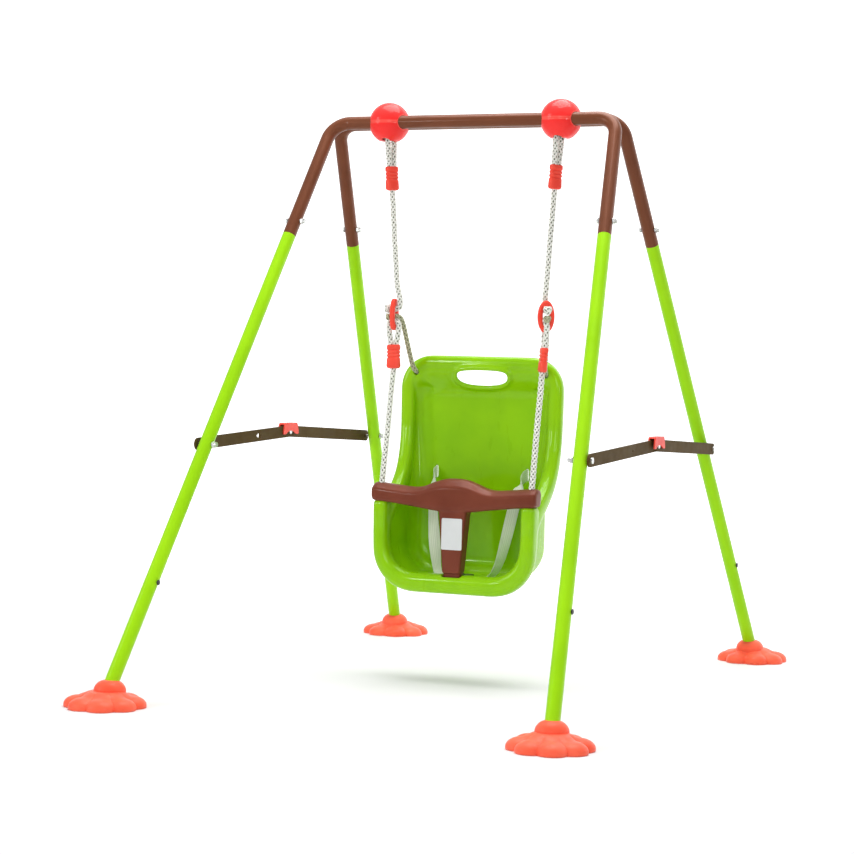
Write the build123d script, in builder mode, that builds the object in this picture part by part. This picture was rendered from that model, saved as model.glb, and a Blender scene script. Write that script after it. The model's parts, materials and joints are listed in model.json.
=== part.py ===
"""Free-standing folding baby swing.

Two n-shaped tube frames hinge inside two ball housings on the beam, and side braces
lock them apart. Two ropes hang from the balls and carry a moulded bucket seat with a
sliding T-bar. X is across, Y runs from front (-) to back (+), Z is up, floor at z = 0.
"""
import math
import os

from build123d import *

# Frame tubes
BEAM_Z = 1186.0                 # height of both beam axes
BEAM_Y = 14.5                   # each beam axis stands this far from the middle plane
CORNER_X = 321.0                # virtual corner between beam and leg
FOOT_X, FOOT_Y, FOOT_Z = 450.0, 671.0, 50.0     # leg axis where it enters the foot
BEND_RADIUS = 45.0
TUBE_R = 14.0
TUBE_BORE = 12.8
SWAGE_R = 12.65                 # reduced end that slips into the next tube
SWAGE_BORE = 11.45

# Stations along a leg axis, 0 at the virtual corner and 1 where it enters the foot
JOINT_TOP, BOLT_TOP, SWAGE_TOP = 0.22, 0.1925, 0.168
JOINT_MID, BRACE_BOLT, SWAGE_MID = 0.6285, 0.604, 0.588
LEG_END = 1.028
PLUG_AT = 0.84

# Fasteners
BOLT_R = 3.0
BOLT_HOLE_R = 3.1
SEAT_GAP = 0.9                  # lets a flat head clear the sloping side of a tube
HEAD_R, HEAD_H = 6.0, 3.6
NUT_R, NUT_H = 6.5, 5.0
CAP_R, CAP_H = 5.2, 4.5
RUNNING_GAP = 0.05              # radial clearance of every turning pin
FACE_GAP = 0.3                  # clearance between faces that slide on each other

# Feet
DISC_R = 80.0
PETALS, PETAL_R, PETAL_RIM, PETAL_RISE = 8, 26.0, 5.0, 18.0
DISC_CORE_R, DISC_CORE_H = 58.0, 15.0
MOUND_R, MOUND_TOP = 38.0, 30.0  # raised middle of the disc, sloping down to the edge of the core
DOME_R, DOME_RIM, DOME_TOP = 31.5, 30.0, 51.0
DISC_FROM_ENTRY = (4.0, 19.0)   # disc centre, further out and forward than the entry
DOME_FROM_ENTRY = (1.5, 6.5)

# Ball housings
BALL_X, BALL_R, BALL_WALL = 194.6, 43.5, 4.0
BALL_FLAT_Z = 1147.0
RIB_X, RIB_T = 16.0, 5.0
PIN_Z, PIN_R, PIN_LENGTH = 1159.0, 5.0, 40.0
ROPE_SLOT = (53.0, 20.0)        # length along Y, width along X
SCREW_Y, BOSS_R = 34.5, 4.2

# Side braces
BAR_X, BAR_T, BAR_H = 416.0, 4.0, 25.0
BRACE_RISE = 18.0               # centre pin above the leg bolts
CLIP_LENGTH, CLIP_HEIGHT, CLIP_WALL = 33.0, 33.0, 4.0

# Ropes, clamps and rings
ROPE_R = 5.0
LOOP_R = PIN_R + ROPE_R + 0.3
STRAND = 5.25                   # half the distance between two clamped strands
CLAMP = (29.0, 15.0, 51.0)      # width, thickness, height
UPPER_CLAMP_BOTTOM = (184.3, 0.0, 1042.0)
UPPER_CLAMP_TOP = (187.2, 0.0, 1093.0)
LOWER_CLAMP_BOTTOM = (169.5, -5.0, 661.0)
LOWER_CLAMP_TOP = (171.7, -1.9, 712.0)
RING_X, RING_Z = 173.0, 777.0
RING = (36.0, 68.0, 11.0)       # width, height, thickness
RING_SLOT = (14.0, 38.0)
RING_TWIST = {-1: 5.0, 1: 57.0}     # each ring's face turned forward from sideways, degrees
REAR_CLEAR = {-1: 15.5, 1: 21.0}    # how far off each ring's middle its rear rope leaves
MAIN_CROSS_Z, REAR_CROSS_Z, FRONT_CROSS_Z = 788.4, 775.0, 763.3
BACK_HOLE = (150.0, 654.0)      # X and Z of the rope holes in the seat back
KNOT_MAIN, KNOT_REAR, KNOT_SEAT = (6.8, 13.0), (5.8, 10.0), (7.2, 14.0)     # radius and length

# Seat
RIM_OUT, RIM_IN = 188.0, 155.0
RIM_FRONT_Y, RIM_REAR_Y = -72.0, -32.0
BACK_FRONT_Y, BACK_REAR_Y = 70.0, 100.0
SEAT_TOP, SEAT_BOTTOM, LIP_TOP = 692.0, 190.0, 235.0
PAN_BOTTOM, WALL, RIM_WALL = 214.0, 4.4, 4.4
TUB_OUT = 166.0
ARM_TOP = 379.5
HANDLE = (121.0, 33.0, 645.0)   # width, height, centre Z
BELT_SLOT_X, BELT_SLOT_Z, BELT_SLOT_H = 105.0, 440.0, 27.0
BUCKLE_Y = -9.0

# T-bar
BAR_Y, BAR_DEPTH, BAR_HALF = -52.0, 45.0, 189.0
ROPE_BORE_R = 6.5
ROPE_X = 169.5
POST_TOP_HALF, POST_FOOT_HALF, POST_DEPTH = 31.0, 20.0, 36.0

# ---------------------------------------------------------------- shared geometry

LEAN = math.atan2(FOOT_Y - BEAM_Y, BEAM_Z - FOOT_Z)     # legs' angle from upright, about X
LEG_DROP = (BEAM_Z - FOOT_Z) / math.cos(LEAN)           # the same drop measured in the frame plane
NAMES = {-1: "left", 1: "right"}
ENDS = {-1: "front", 1: "back"}


def finish(block, name):
    """Label a finished piece and write its STEP file."""
    block.part.label = name
    export_step(block.part, f"parts/{name}.step")


def leg_point(end, side, t):
    """Point on a leg axis; end is -1 for the front frame, side is -1 for the left."""
    x = CORNER_X + (FOOT_X - CORNER_X) * t
    y = BEAM_Y + (FOOT_Y - BEAM_Y) * t
    return Vector(side * x, end * y, BEAM_Z - (BEAM_Z - FOOT_Z) * t)


def leg_plane(end, side, t):
    """Plane across a leg at station t, its normal pointing down the leg."""
    down = leg_point(end, side, 1) - leg_point(end, side, 0)
    return Plane(origin=leg_point(end, side, t), x_dir=(0, end * math.cos(LEAN), math.sin(LEAN)), z_dir=down)


def leg_length(t_from, t_to):
    """Distance along a leg axis between two stations."""
    return (leg_point(1, 1, t_to) - leg_point(1, 1, t_from)).length


def across(point, start, end, radius, mode=Mode.ADD):
    """Cylinder along X by a point, between two offsets in x, in the block being built."""
    with Locations(Location(point + Vector((start + end) / 2, 0, 0), (0, 90, 0))):
        Cylinder(radius, abs(end - start), mode=mode)


def rope_radii(points, tight):
    """Largest arc that each corner of a route allows, or the stated one where it turns at an edge."""
    radii = []
    for index in range(1, len(points) - 1):
        before, after = points[index] - points[index - 1], points[index + 1] - points[index]
        half_turn = math.radians(before.get_angle(after)) / 2
        radii.append(tight.get(index, 0.45 * min(before.length, after.length) / math.tan(half_turn)))
    return radii


def rope(points, name, end_knot, start_knot=None, tight=None):
    """Rope along a route with a knot on one or both ends; a knot is (radius, length)."""
    radii = rope_radii(points, tight or {})
    with BuildPart() as cord:
        with BuildLine() as route:
            FilletPolyline(*points, radius=radii)
        with BuildSketch(Plane(origin=route.line @ 0, z_dir=route.line % 0)):
            Circle(ROPE_R)
        sweep()
        length = route.wire().length
        ratio = cord.part.volume / (math.pi * ROPE_R ** 2 * length)
        print(f"{name}: length {length:.1f}, volume ratio {ratio:.4f}, radii {[round(r, 1) for r in radii]}")
        with BuildSketch(Plane(origin=route.line @ 1, z_dir=route.line % 1)):
            Circle(end_knot[0])
        extrude(amount=end_knot[1])
        if start_knot:
            with BuildSketch(Plane(origin=route.line @ 0, z_dir=route.line % 0)):
                Circle(start_knot[0])
            extrude(amount=-start_knot[1])
    finish(cord, name)


# ---------------------------------------------------------------- frame

def beam_tube(end):
    """Brown n-shaped tube: the beam and the tops of its two legs."""
    plane = Plane(origin=(0, end * BEAM_Y, BEAM_Z), x_dir=(1, 0, 0),
                  z_dir=(0, -math.cos(LEAN), -end * math.sin(LEAN)))
    end_x = CORNER_X + (FOOT_X - CORNER_X) * JOINT_TOP
    drop = -LEG_DROP * JOINT_TOP
    with BuildPart() as tube:
        with BuildLine(plane) as path:
            FilletPolyline((-end_x, drop), (-CORNER_X, 0), (CORNER_X, 0), (end_x, drop), radius=BEND_RADIUS)
        with BuildSketch(Plane(origin=path.line @ 0, z_dir=path.line % 0)):
            Circle(TUBE_R)
            Circle(TUBE_BORE, mode=Mode.SUBTRACT)
        sweep()
        for side in NAMES:
            across(leg_point(end, side, BOLT_TOP), -30, 30, BOLT_HOLE_R, Mode.SUBTRACT)
    finish(tube, f"{ENDS[end]}_beam_tube")


def leg_tube(end, side, name, t_swage, t_top, t_bottom, t_holes):
    """Green leg tube with a reduced upper end."""
    with BuildPart() as tube:
        with BuildSketch(leg_plane(end, side, t_top)):
            Circle(TUBE_R)
            Circle(TUBE_BORE, mode=Mode.SUBTRACT)
        extrude(amount=leg_length(t_top, t_bottom))
        with BuildSketch(leg_plane(end, side, t_swage)):
            Circle(SWAGE_R)
            Circle(SWAGE_BORE, mode=Mode.SUBTRACT)
        extrude(amount=leg_length(t_swage, t_top))
        with BuildSketch(leg_plane(end, side, t_top)):
            Circle(TUBE_R)
            Circle(SWAGE_BORE, mode=Mode.SUBTRACT)
        extrude(amount=TUBE_R - SWAGE_BORE)
        for t in t_holes:
            across(leg_point(end, side, t), -30, 30, BOLT_HOLE_R, Mode.SUBTRACT)
        if name.startswith("lower"):
            across(leg_point(end, side, PLUG_AT), 0, 30, BOLT_HOLE_R, Mode.SUBTRACT)
    finish(tube, f"{ENDS[end]}_{name}_leg_{NAMES[side]}")


def leg_bore(end, side):
    """Straight bore that takes the foot of a leg, cut from the block being built."""
    with Locations(leg_plane(end, side, LEG_END).location):
        Cylinder(TUBE_R + 0.15, 120, align=(Align.CENTER, Align.CENTER, Align.MAX), mode=Mode.SUBTRACT)


def entry_offset(end, side, offset):
    """Ground point beside a leg's entry into its foot."""
    return Vector(side * (FOOT_X + offset[0]), end * (FOOT_Y + offset[1]), 0)


def foot_base(end, side):
    """Flower-shaped disc: eight round petals about a flat core."""
    centre = entry_offset(end, side, DISC_FROM_ENTRY)
    cap_r = (PETAL_R ** 2 + PETAL_RISE ** 2) / (2 * PETAL_RISE)
    with BuildPart() as petal:
        with BuildSketch(Plane.XZ):
            with BuildLine():
                Polyline((0, PETAL_RIM + PETAL_RISE), (0, 0), (PETAL_R, 0), (PETAL_R, PETAL_RIM))
                RadiusArc((PETAL_R, PETAL_RIM), (0, PETAL_RIM + PETAL_RISE), -cap_r)
            make_face()
        revolve(axis=Axis.Z)
    with BuildPart() as base:
        with BuildSketch(Plane(origin=centre)):
            Circle(DISC_CORE_R)
        extrude(amount=DISC_CORE_H)
        with Locations(centre + Vector(0, 0, DISC_CORE_H)):
            Cone(DISC_CORE_R, MOUND_R, MOUND_TOP - DISC_CORE_H,
                 align=(Align.CENTER, Align.CENTER, Align.MIN))
        with Locations(centre):
            with PolarLocations(DISC_R - PETAL_R, PETALS, start_angle=180 / PETALS):
                add(petal.part)
        recess = entry_offset(end, side, DOME_FROM_ENTRY)
        with BuildSketch(Plane(origin=recess + Vector(0, 0, DISC_CORE_H))):
            Circle(DOME_R + 0.3)
        extrude(amount=2 * DISC_CORE_H, mode=Mode.SUBTRACT)
        leg_bore(end, side)
        with BuildSketch(Plane(origin=screw_place(end, side))):
            Circle(2.0)
        extrude(amount=DISC_CORE_H, mode=Mode.SUBTRACT)
    finish(base, f"{ENDS[end]}_foot_base_{NAMES[side]}")


def screw_place(end, side):
    """Underside end of the screw that ties a dome to its disc."""
    return entry_offset(end, side, DOME_FROM_ENTRY) + Vector(side * 23.5, 0, 6.0)


def foot_dome(end, side):
    """Rounded collar round the foot of a leg."""
    centre = entry_offset(end, side, DOME_FROM_ENTRY)
    rise = DOME_TOP - DOME_RIM
    cap_r = (DOME_R ** 2 + rise ** 2) / (2 * rise)
    with BuildPart() as dome:
        with BuildSketch(Plane(origin=centre, x_dir=(1, 0, 0), z_dir=(0, -1, 0))):
            with BuildLine():
                Polyline((0, DOME_TOP), (0, DISC_CORE_H), (DOME_R, DISC_CORE_H), (DOME_R, DOME_RIM))
                RadiusArc((DOME_R, DOME_RIM), (0, DOME_TOP), -cap_r)
            make_face()
        revolve(axis=Axis((centre.X, centre.Y, 0), (0, 0, 1)))
        leg_bore(end, side)
        place = screw_place(end, side)
        with BuildSketch(Plane(origin=place)):
            Circle(2.0)
        extrude(amount=50, mode=Mode.SUBTRACT)
        with BuildSketch(Plane(origin=(place.X, place.Y, DOME_RIM))):
            Circle(4.2)
        extrude(amount=50, mode=Mode.SUBTRACT)
    finish(dome, f"{ENDS[end]}_foot_dome_{NAMES[side]}")


def foot_screws(end):
    """One screw through each dome into its disc."""
    with BuildPart() as screws:
        for side in NAMES:
            place = screw_place(end, side)
            with BuildSketch(Plane(origin=place)):
                Circle(1.9)
            extrude(amount=DOME_RIM - place.Z)
            with BuildSketch(Plane(origin=(place.X, place.Y, DOME_RIM))):
                Circle(4.0)
            extrude(amount=3.0)
    finish(screws, f"{ENDS[end]}_foot_screws")


def frame_bolts(end):
    """Two bolts that join the upper tubes and two shoulder bolts that carry the braces."""
    half = TUBE_R + SEAT_GAP
    with BuildPart() as bolts:
        for side in NAMES:
            top = leg_point(end, side, BOLT_TOP)
            across(top, -half - 0.5, half + NUT_H - 1.0, BOLT_R)
            across(top, -half - HEAD_H, -half, HEAD_R)
            pivot = leg_point(end, side, BRACE_BOLT)
            reach = BAR_X - side * pivot.X
            inner, shoulder = -side * (half + NUT_H - 1.0), side * (reach - FACE_GAP)
            across(pivot, inner, shoulder, BOLT_R)
            if end < 0:
                tip = side * (reach + BAR_T + FACE_GAP)
                head = side * (reach + BAR_T + FACE_GAP + HEAD_H)
                across(pivot, 0, tip, BOLT_R)
                across(pivot, tip, head, HEAD_R)
            else:
                stub = side * (reach + BAR_T + 2 * FACE_GAP - 0.6)
                across(pivot, 0, stub, BOLT_R)
    finish(bolts, f"{ENDS[end]}_frame_bolts")


def cap_nuts(end):
    """Hexagon nuts with round plastic caps on the four bolts of a frame."""
    half = TUBE_R + SEAT_GAP
    with BuildPart() as nuts:
        for side in NAMES:
            for t, way in ((BOLT_TOP, 1), (BRACE_BOLT, -side)):
                seat = leg_point(end, side, t) + Vector(way * half, 0, 0)
                with BuildSketch(Plane(origin=seat, z_dir=(way, 0, 0))):
                    RegularPolygon(NUT_R, 6)
                    Circle(BOLT_R, mode=Mode.SUBTRACT)
                extrude(amount=NUT_H)
                with BuildSketch(Plane(origin=seat + Vector(way * NUT_H, 0, 0), z_dir=(way, 0, 0))):
                    Circle(CAP_R)
                extrude(amount=CAP_H)
    finish(nuts, f"{ENDS[end]}_cap_nuts")


def leg_plugs(end):
    """Small push-in plugs in the outer side holes of the lower tubes."""
    with BuildPart() as plugs:
        for side in NAMES:
            place = leg_point(end, side, PLUG_AT)
            across(place, TUBE_R - 4.0, TUBE_R + SEAT_GAP, BOLT_HOLE_R - 0.1)
            across(place, TUBE_R + SEAT_GAP, TUBE_R + SEAT_GAP + 2, BOLT_HOLE_R + 2)
    finish(plugs, f"{ENDS[end]}_leg_plugs")


# ---------------------------------------------------------------- ball housings

def ball_shell(side, upper):
    """Half of a ball: a hollow cap with two ribs that hold both beam tubes."""
    centre = Vector(side * BALL_X, 0, BEAM_Z)
    keep = 1 if upper else -1
    with BuildPart() as shell:
        with BuildSketch(Plane(origin=centre, x_dir=(1, 0, 0), z_dir=(0, -1, 0))):
            Circle(BALL_R)
            Circle(BALL_R - BALL_WALL, mode=Mode.SUBTRACT)
            Rectangle(BALL_R + 1, BALL_R + 1, mode=Mode.INTERSECT,
                      align=(Align.MIN, Align.MIN if upper else Align.MAX))
        revolve(axis=Axis(centre, (0, 0, 1)))
        for rib in (-RIB_X, RIB_X):
            with BuildSketch(Plane(origin=centre + Vector(rib - RIB_T / 2, 0, 0), z_dir=(1, 0, 0))):
                Circle(BALL_R - BALL_WALL / 2)
            extrude(amount=RIB_T)
        for way in (-1, 1):
            with BuildSketch(Plane(origin=centre + Vector(0, way * SCREW_Y, -BALL_R * 0.55))):
                Circle(BOSS_R)
            extrude(amount=BALL_R * 1.1)
        with Locations(centre - Vector(0, 0, keep * BALL_R)):
            Box(3 * BALL_R, 3 * BALL_R, 2 * BALL_R, mode=Mode.SUBTRACT)
        for way in (-1, 1):
            with BuildSketch(Plane(origin=centre + Vector(-60, way * BEAM_Y, 0), z_dir=(1, 0, 0))):
                Circle(TUBE_R + RUNNING_GAP)
            extrude(amount=120, mode=Mode.SUBTRACT)
            with BuildSketch(Plane(origin=centre + Vector(0, way * SCREW_Y, -BALL_R))):
                Circle(1.9)
            extrude(amount=BALL_R + 14, mode=Mode.SUBTRACT)
            with BuildSketch(Plane(origin=centre + Vector(0, way * SCREW_Y, -BALL_R))):
                Circle(3.6)
            extrude(amount=BALL_R - 16, mode=Mode.SUBTRACT)
        if not upper:
            with BuildSketch(Plane(origin=(centre.X, 0, BALL_FLAT_Z))):
                Rectangle(2 * BALL_R, 2 * BALL_R)
            extrude(amount=-20, mode=Mode.SUBTRACT)
            with BuildSketch(Plane(origin=(centre.X, 0, PIN_Z - 2))):
                SlotOverall(*ROPE_SLOT, rotation=90)
            extrude(amount=-20, mode=Mode.SUBTRACT)
            with BuildSketch(Plane(origin=(centre.X - 25, 0, PIN_Z), z_dir=(1, 0, 0))):
                Circle(PIN_R + RUNNING_GAP)
            extrude(amount=50, mode=Mode.SUBTRACT)
            with BuildSketch(Plane(origin=(centre.X, 0, PIN_Z))):
                Rectangle(50, 2 * PIN_R + 0.1)
            extrude(amount=BEAM_Z - PIN_Z, mode=Mode.SUBTRACT)
    finish(shell, f"ball_{'upper' if upper else 'lower'}_shell_{NAMES[side]}")


def ball_hardware():
    """Hanger pins under the tubes and the screws that close the balls."""
    with BuildPart() as pins:
        for side in NAMES:
            across(Vector(side * BALL_X, 0, PIN_Z), -PIN_LENGTH / 2, PIN_LENGTH / 2, PIN_R)
    finish(pins, "hanger_pins")
    with BuildPart() as screws:
        for side in NAMES:
            for way in (-1, 1):
                foot = Vector(side * BALL_X, way * SCREW_Y, BEAM_Z - 16)
                with BuildSketch(Plane(origin=foot)):
                    Circle(1.8)
                extrude(amount=26)
                with BuildSketch(Plane(origin=foot)):
                    Circle(3.4)
                extrude(amount=-2.5)
    finish(screws, "ball_screws")


# ---------------------------------------------------------------- side braces

PIVOT = leg_point(1, 1, BRACE_BOLT)
BRACE_PIN_Z = PIVOT.Z + BRACE_RISE


def brace_bar(end, side):
    """Flat bar from a leg bolt to the middle pin; the rear bar lies outside the front one."""
    inner = BAR_X if end < 0 else BAR_X + BAR_T + FACE_GAP
    start = Vector(side * inner, 0, 0)
    with BuildPart() as bar:
        with BuildSketch(Plane(origin=start, x_dir=(0, 1, 0), z_dir=(1, 0, 0))):
            with BuildLine():
                Line((end * PIVOT.Y, PIVOT.Z), (0, BRACE_PIN_Z))
            trace(line_width=BAR_H)
            with Locations((end * PIVOT.Y, PIVOT.Z), (0, BRACE_PIN_Z)):
                Circle(BAR_H / 2)
                Circle(BOLT_R + RUNNING_GAP, mode=Mode.SUBTRACT)
            if end < 0:
                share = 155.0 / PIVOT.Y
                with Locations((-155.0, BRACE_PIN_Z - BRACE_RISE * share)):
                    Circle(2.5, mode=Mode.SUBTRACT)
        extrude(amount=side * BAR_T)
    finish(bar, f"brace_bar_{'front' if end < 0 else 'rear'}_{NAMES[side]}")


def brace_rivets():
    """Middle pins of both braces, and the headed studs of the rear bars."""
    stack = 2 * BAR_T + FACE_GAP
    with BuildPart() as middle:
        for side in NAMES:
            pin = Vector(side * BAR_X, 0, BRACE_PIN_Z)
            shank = side * (stack + FACE_GAP)
            across(pin, -side * FACE_GAP, shank, BOLT_R)
            for base, tip in ((-FACE_GAP, -FACE_GAP - 2.2), (stack + FACE_GAP, stack + FACE_GAP + 2.2)):
                across(pin, side * base, side * tip, HEAD_R)
    finish(middle, "brace_middle_rivets")
    with BuildPart() as rear:
        for side in NAMES:
            face = Vector(side * (BAR_X + BAR_T + FACE_GAP), PIVOT.Y, PIVOT.Z)
            shank = side * BAR_T
            head = side * (BAR_T + HEAD_H)
            across(face, side * 0.6, shank, BOLT_R + RUNNING_GAP)
            across(face, shank, head, HEAD_R)
    finish(rear, "brace_rear_studs")


def lock_clip(side):
    """Saddle clip over the middle joint: two cheeks, each with two legs, and a bridge."""
    inner = BAR_X - 7.0
    outer = BAR_X + 2 * BAR_T + FACE_GAP + 3.8
    bottom = BRACE_PIN_Z - 13.0
    with BuildPart() as clip:
        with BuildSketch(Plane(origin=(side * inner, 0, 0), x_dir=(0, 1, 0), z_dir=(1, 0, 0))):
            with BuildLine():
                Polyline((-CLIP_LENGTH / 2, bottom), (-11, bottom + CLIP_HEIGHT), (11, bottom + CLIP_HEIGHT),
                         (CLIP_LENGTH / 2, bottom), (7, bottom), (5, bottom + 9), (-5, bottom + 9),
                         (-7, bottom), close=True)
            make_face()
        extrude(amount=side * (outer + CLIP_WALL - inner))
        fillet(clip.edges().filter_by(Axis.X), 1.6)
        with BuildSketch(Plane(origin=(side * (inner + CLIP_WALL), 0, 0), x_dir=(0, 1, 0), z_dir=(1, 0, 0))):
            with Locations((0, bottom)):
                Rectangle(3 * CLIP_LENGTH, 2 * (13.0 + BAR_H / 2 + 1.0))
        extrude(amount=side * (outer - inner - CLIP_WALL), mode=Mode.SUBTRACT)
    finish(clip, f"lock_clip_{NAMES[side]}")


# ---------------------------------------------------------------- ropes, clamps and rings

def on_line(low, high, z):
    """Point at height z on the line through two points."""
    low, high = Vector(*low), Vector(*high)
    return low + (high - low) * ((z - low.Z) / (high.Z - low.Z))


def ring_point(side, out, z, along=0.0):
    """Point by a ring: out is along its face normal, away from the seat's middle."""
    twist = math.radians(RING_TWIST[side])
    x = RING_X + out * math.cos(twist) + along * math.sin(twist)
    return Vector(side * x, -out * math.sin(twist) + along * math.cos(twist), z)


def ring_normal(side):
    """Unit vector along a ring's outward face normal."""
    return ring_point(side, 1, 0) - ring_point(side, 0, 0)


def mirrored(point, side):
    """Point of the right-hand side, mirrored for the left."""
    return Vector(side * point[0], point[1], point[2])


def main_rope(side):
    """Rope from its clamped end over the hanger pin and down to a knot at the ring."""
    low, high = mirrored(UPPER_CLAMP_BOTTOM, side), mirrored(UPPER_CLAMP_TOP, side)
    apart = Vector(0, STRAND, 0)
    ball = side * (BALL_X - 4.0)
    points = [
        on_line(low, high, 1076) + apart,
        on_line(low, high, 1094) + apart,
        Vector(ball, LOOP_R, 1141),
        Vector(ball, LOOP_R, PIN_Z + LOOP_R),
        Vector(ball, -LOOP_R, PIN_Z + LOOP_R),
        Vector(ball, -LOOP_R, 1141),
        on_line(low, high, 1094) - apart,
        on_line(low, high, 1075) - apart,
        on_line(low, high, 1058),
        on_line(low, high, 1036),
        hanging(side, 1004, 0.8),
        hanging(side, 945, -0.9),
        hanging(side, 880, 1.0),
        ring_point(side, -5.0, 838),
        ring_point(side, -14.0, 808),
        ring_point(side, -12.0, MAIN_CROSS_Z - 2.2),
        ring_point(side, 9.0, MAIN_CROSS_Z + 1.6),
    ]
    rope(points, f"main_rope_{NAMES[side]}", KNOT_MAIN)


def hanging(side, z, bow):
    """Point at height z between the upper clamp and the ring, bowed along Y."""
    foot, ring_top = mirrored(UPPER_CLAMP_BOTTOM, side), ring_point(side, -5.0, 838)
    return on_line(ring_top, foot, z) + Vector(0, bow, 0)


def front_rope(side):
    """Rope from its clamped end round the ring and down through the T-bar to the armrest."""
    low, high = mirrored(LOWER_CLAMP_BOTTOM, side), mirrored(LOWER_CLAMP_TOP, side)
    apart = ring_normal(side) * STRAND
    grip = (RING[2] / 2 + ROPE_R + 0.5)
    points = [
        on_line(low, high, 695) + apart,
        on_line(low, high, 713) + apart,
        ring_point(side, grip, 741),
        ring_point(side, grip, FRONT_CROSS_Z),
        ring_point(side, -grip, FRONT_CROSS_Z),
        ring_point(side, -grip, 741),
        on_line(low, high, 713) - apart,
        on_line(low, high, 694) - apart,
        on_line(low, high, 677),
        on_line(low, high, 655),
        rope_line(side, 615, bow=0.5),
        rope_line(side, 540, bow=-0.4),
        rope_line(side, 450, bow=0.4),
        rope_line(side, ARM_TOP - 19.0),
    ]
    rope(points, f"front_rope_{NAMES[side]}", KNOT_SEAT)


def rope_line(side, z, bow=0.0):
    """Point at height z on the front rope below its clamp, bowed outwards."""
    top = Vector(*LOWER_CLAMP_BOTTOM)
    slope = (BAR_Y - top.Y) / (403.0 - top.Z)
    return Vector(side * (ROPE_X + bow), top.Y + slope * (z - top.Z), z)


def rear_rope(side):
    """Rope from a knot at the ring to a knot behind the seat back."""
    x, z = BACK_HOLE
    aside = 16.0 * math.cos(math.radians(RING_TWIST[side]))
    leaving = ring_point(side, -REAR_CLEAR[side], REAR_CROSS_Z - 16, aside)
    hole = Vector(side * x, BACK_FRONT_Y - 7, z)
    points = [
        ring_point(side, 9.0, REAR_CROSS_Z - 2.2),
        ring_point(side, -11.5, REAR_CROSS_Z + 1.2),
        leaving,
        leaving + (hole - leaving) * 0.25 - Vector(0, 0, 2.5),
        leaving + (hole - leaving) * 0.62 - Vector(0, 0, 3.5),
        hole,
        Vector(side * x, BACK_REAR_Y + FACE_GAP, z),
    ]
    rope(points, f"rear_rope_{NAMES[side]}", KNOT_SEAT, start_knot=KNOT_REAR, tight={5: 2 * ROPE_R})


def clamp(bottom, top, wide, name):
    """Ribbed rope clamp: two strands enter its top and one leaves its bottom."""
    width, thick, height = CLAMP
    axis = top - bottom
    plane = Plane(origin=bottom, x_dir=wide, z_dir=axis)
    with BuildPart() as body:
        with BuildSketch(plane):
            SlotOverall(width, thick)
        extrude(amount=height)
        chamfer(body.faces().sort_by(Axis.Z)[0].outer_wire().edges(), 2.5)
        for groove in (23.0, 31.0, 39.0):
            with BuildSketch(plane.offset(groove)):
                SlotOverall(width, thick)
                SlotOverall(width - 3, thick - 3, mode=Mode.SUBTRACT)
            extrude(amount=3.0, mode=Mode.SUBTRACT)
        with BuildSketch(plane.offset(14.0)):
            SlotOverall(2 * STRAND + 2 * ROPE_R + 0.8, 2 * ROPE_R + 0.6)
        extrude(amount=height, mode=Mode.SUBTRACT)
        with BuildSketch(plane):
            Circle(ROPE_R + 0.6)
        extrude(amount=15.0, mode=Mode.SUBTRACT)
    finish(body, name)


def ring(side):
    """Oval plate with an upright slot, all edges rounded."""
    width, height, thick = RING
    centre = ring_point(side, -thick / 2, RING_Z)
    plane = Plane(origin=centre, x_dir=(0, 0, 1), z_dir=ring_normal(side))
    with BuildPart() as plate:
        with BuildSketch(plane):
            Ellipse(height / 2, width / 2)
            SlotOverall(RING_SLOT[1], RING_SLOT[0], mode=Mode.SUBTRACT)
        extrude(amount=thick)
        fillet(plate.edges().filter_by(GeomType.LINE, reverse=True), 4.0)
    finish(plate, f"ring_{NAMES[side]}")


# ---------------------------------------------------------------- seat

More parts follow.
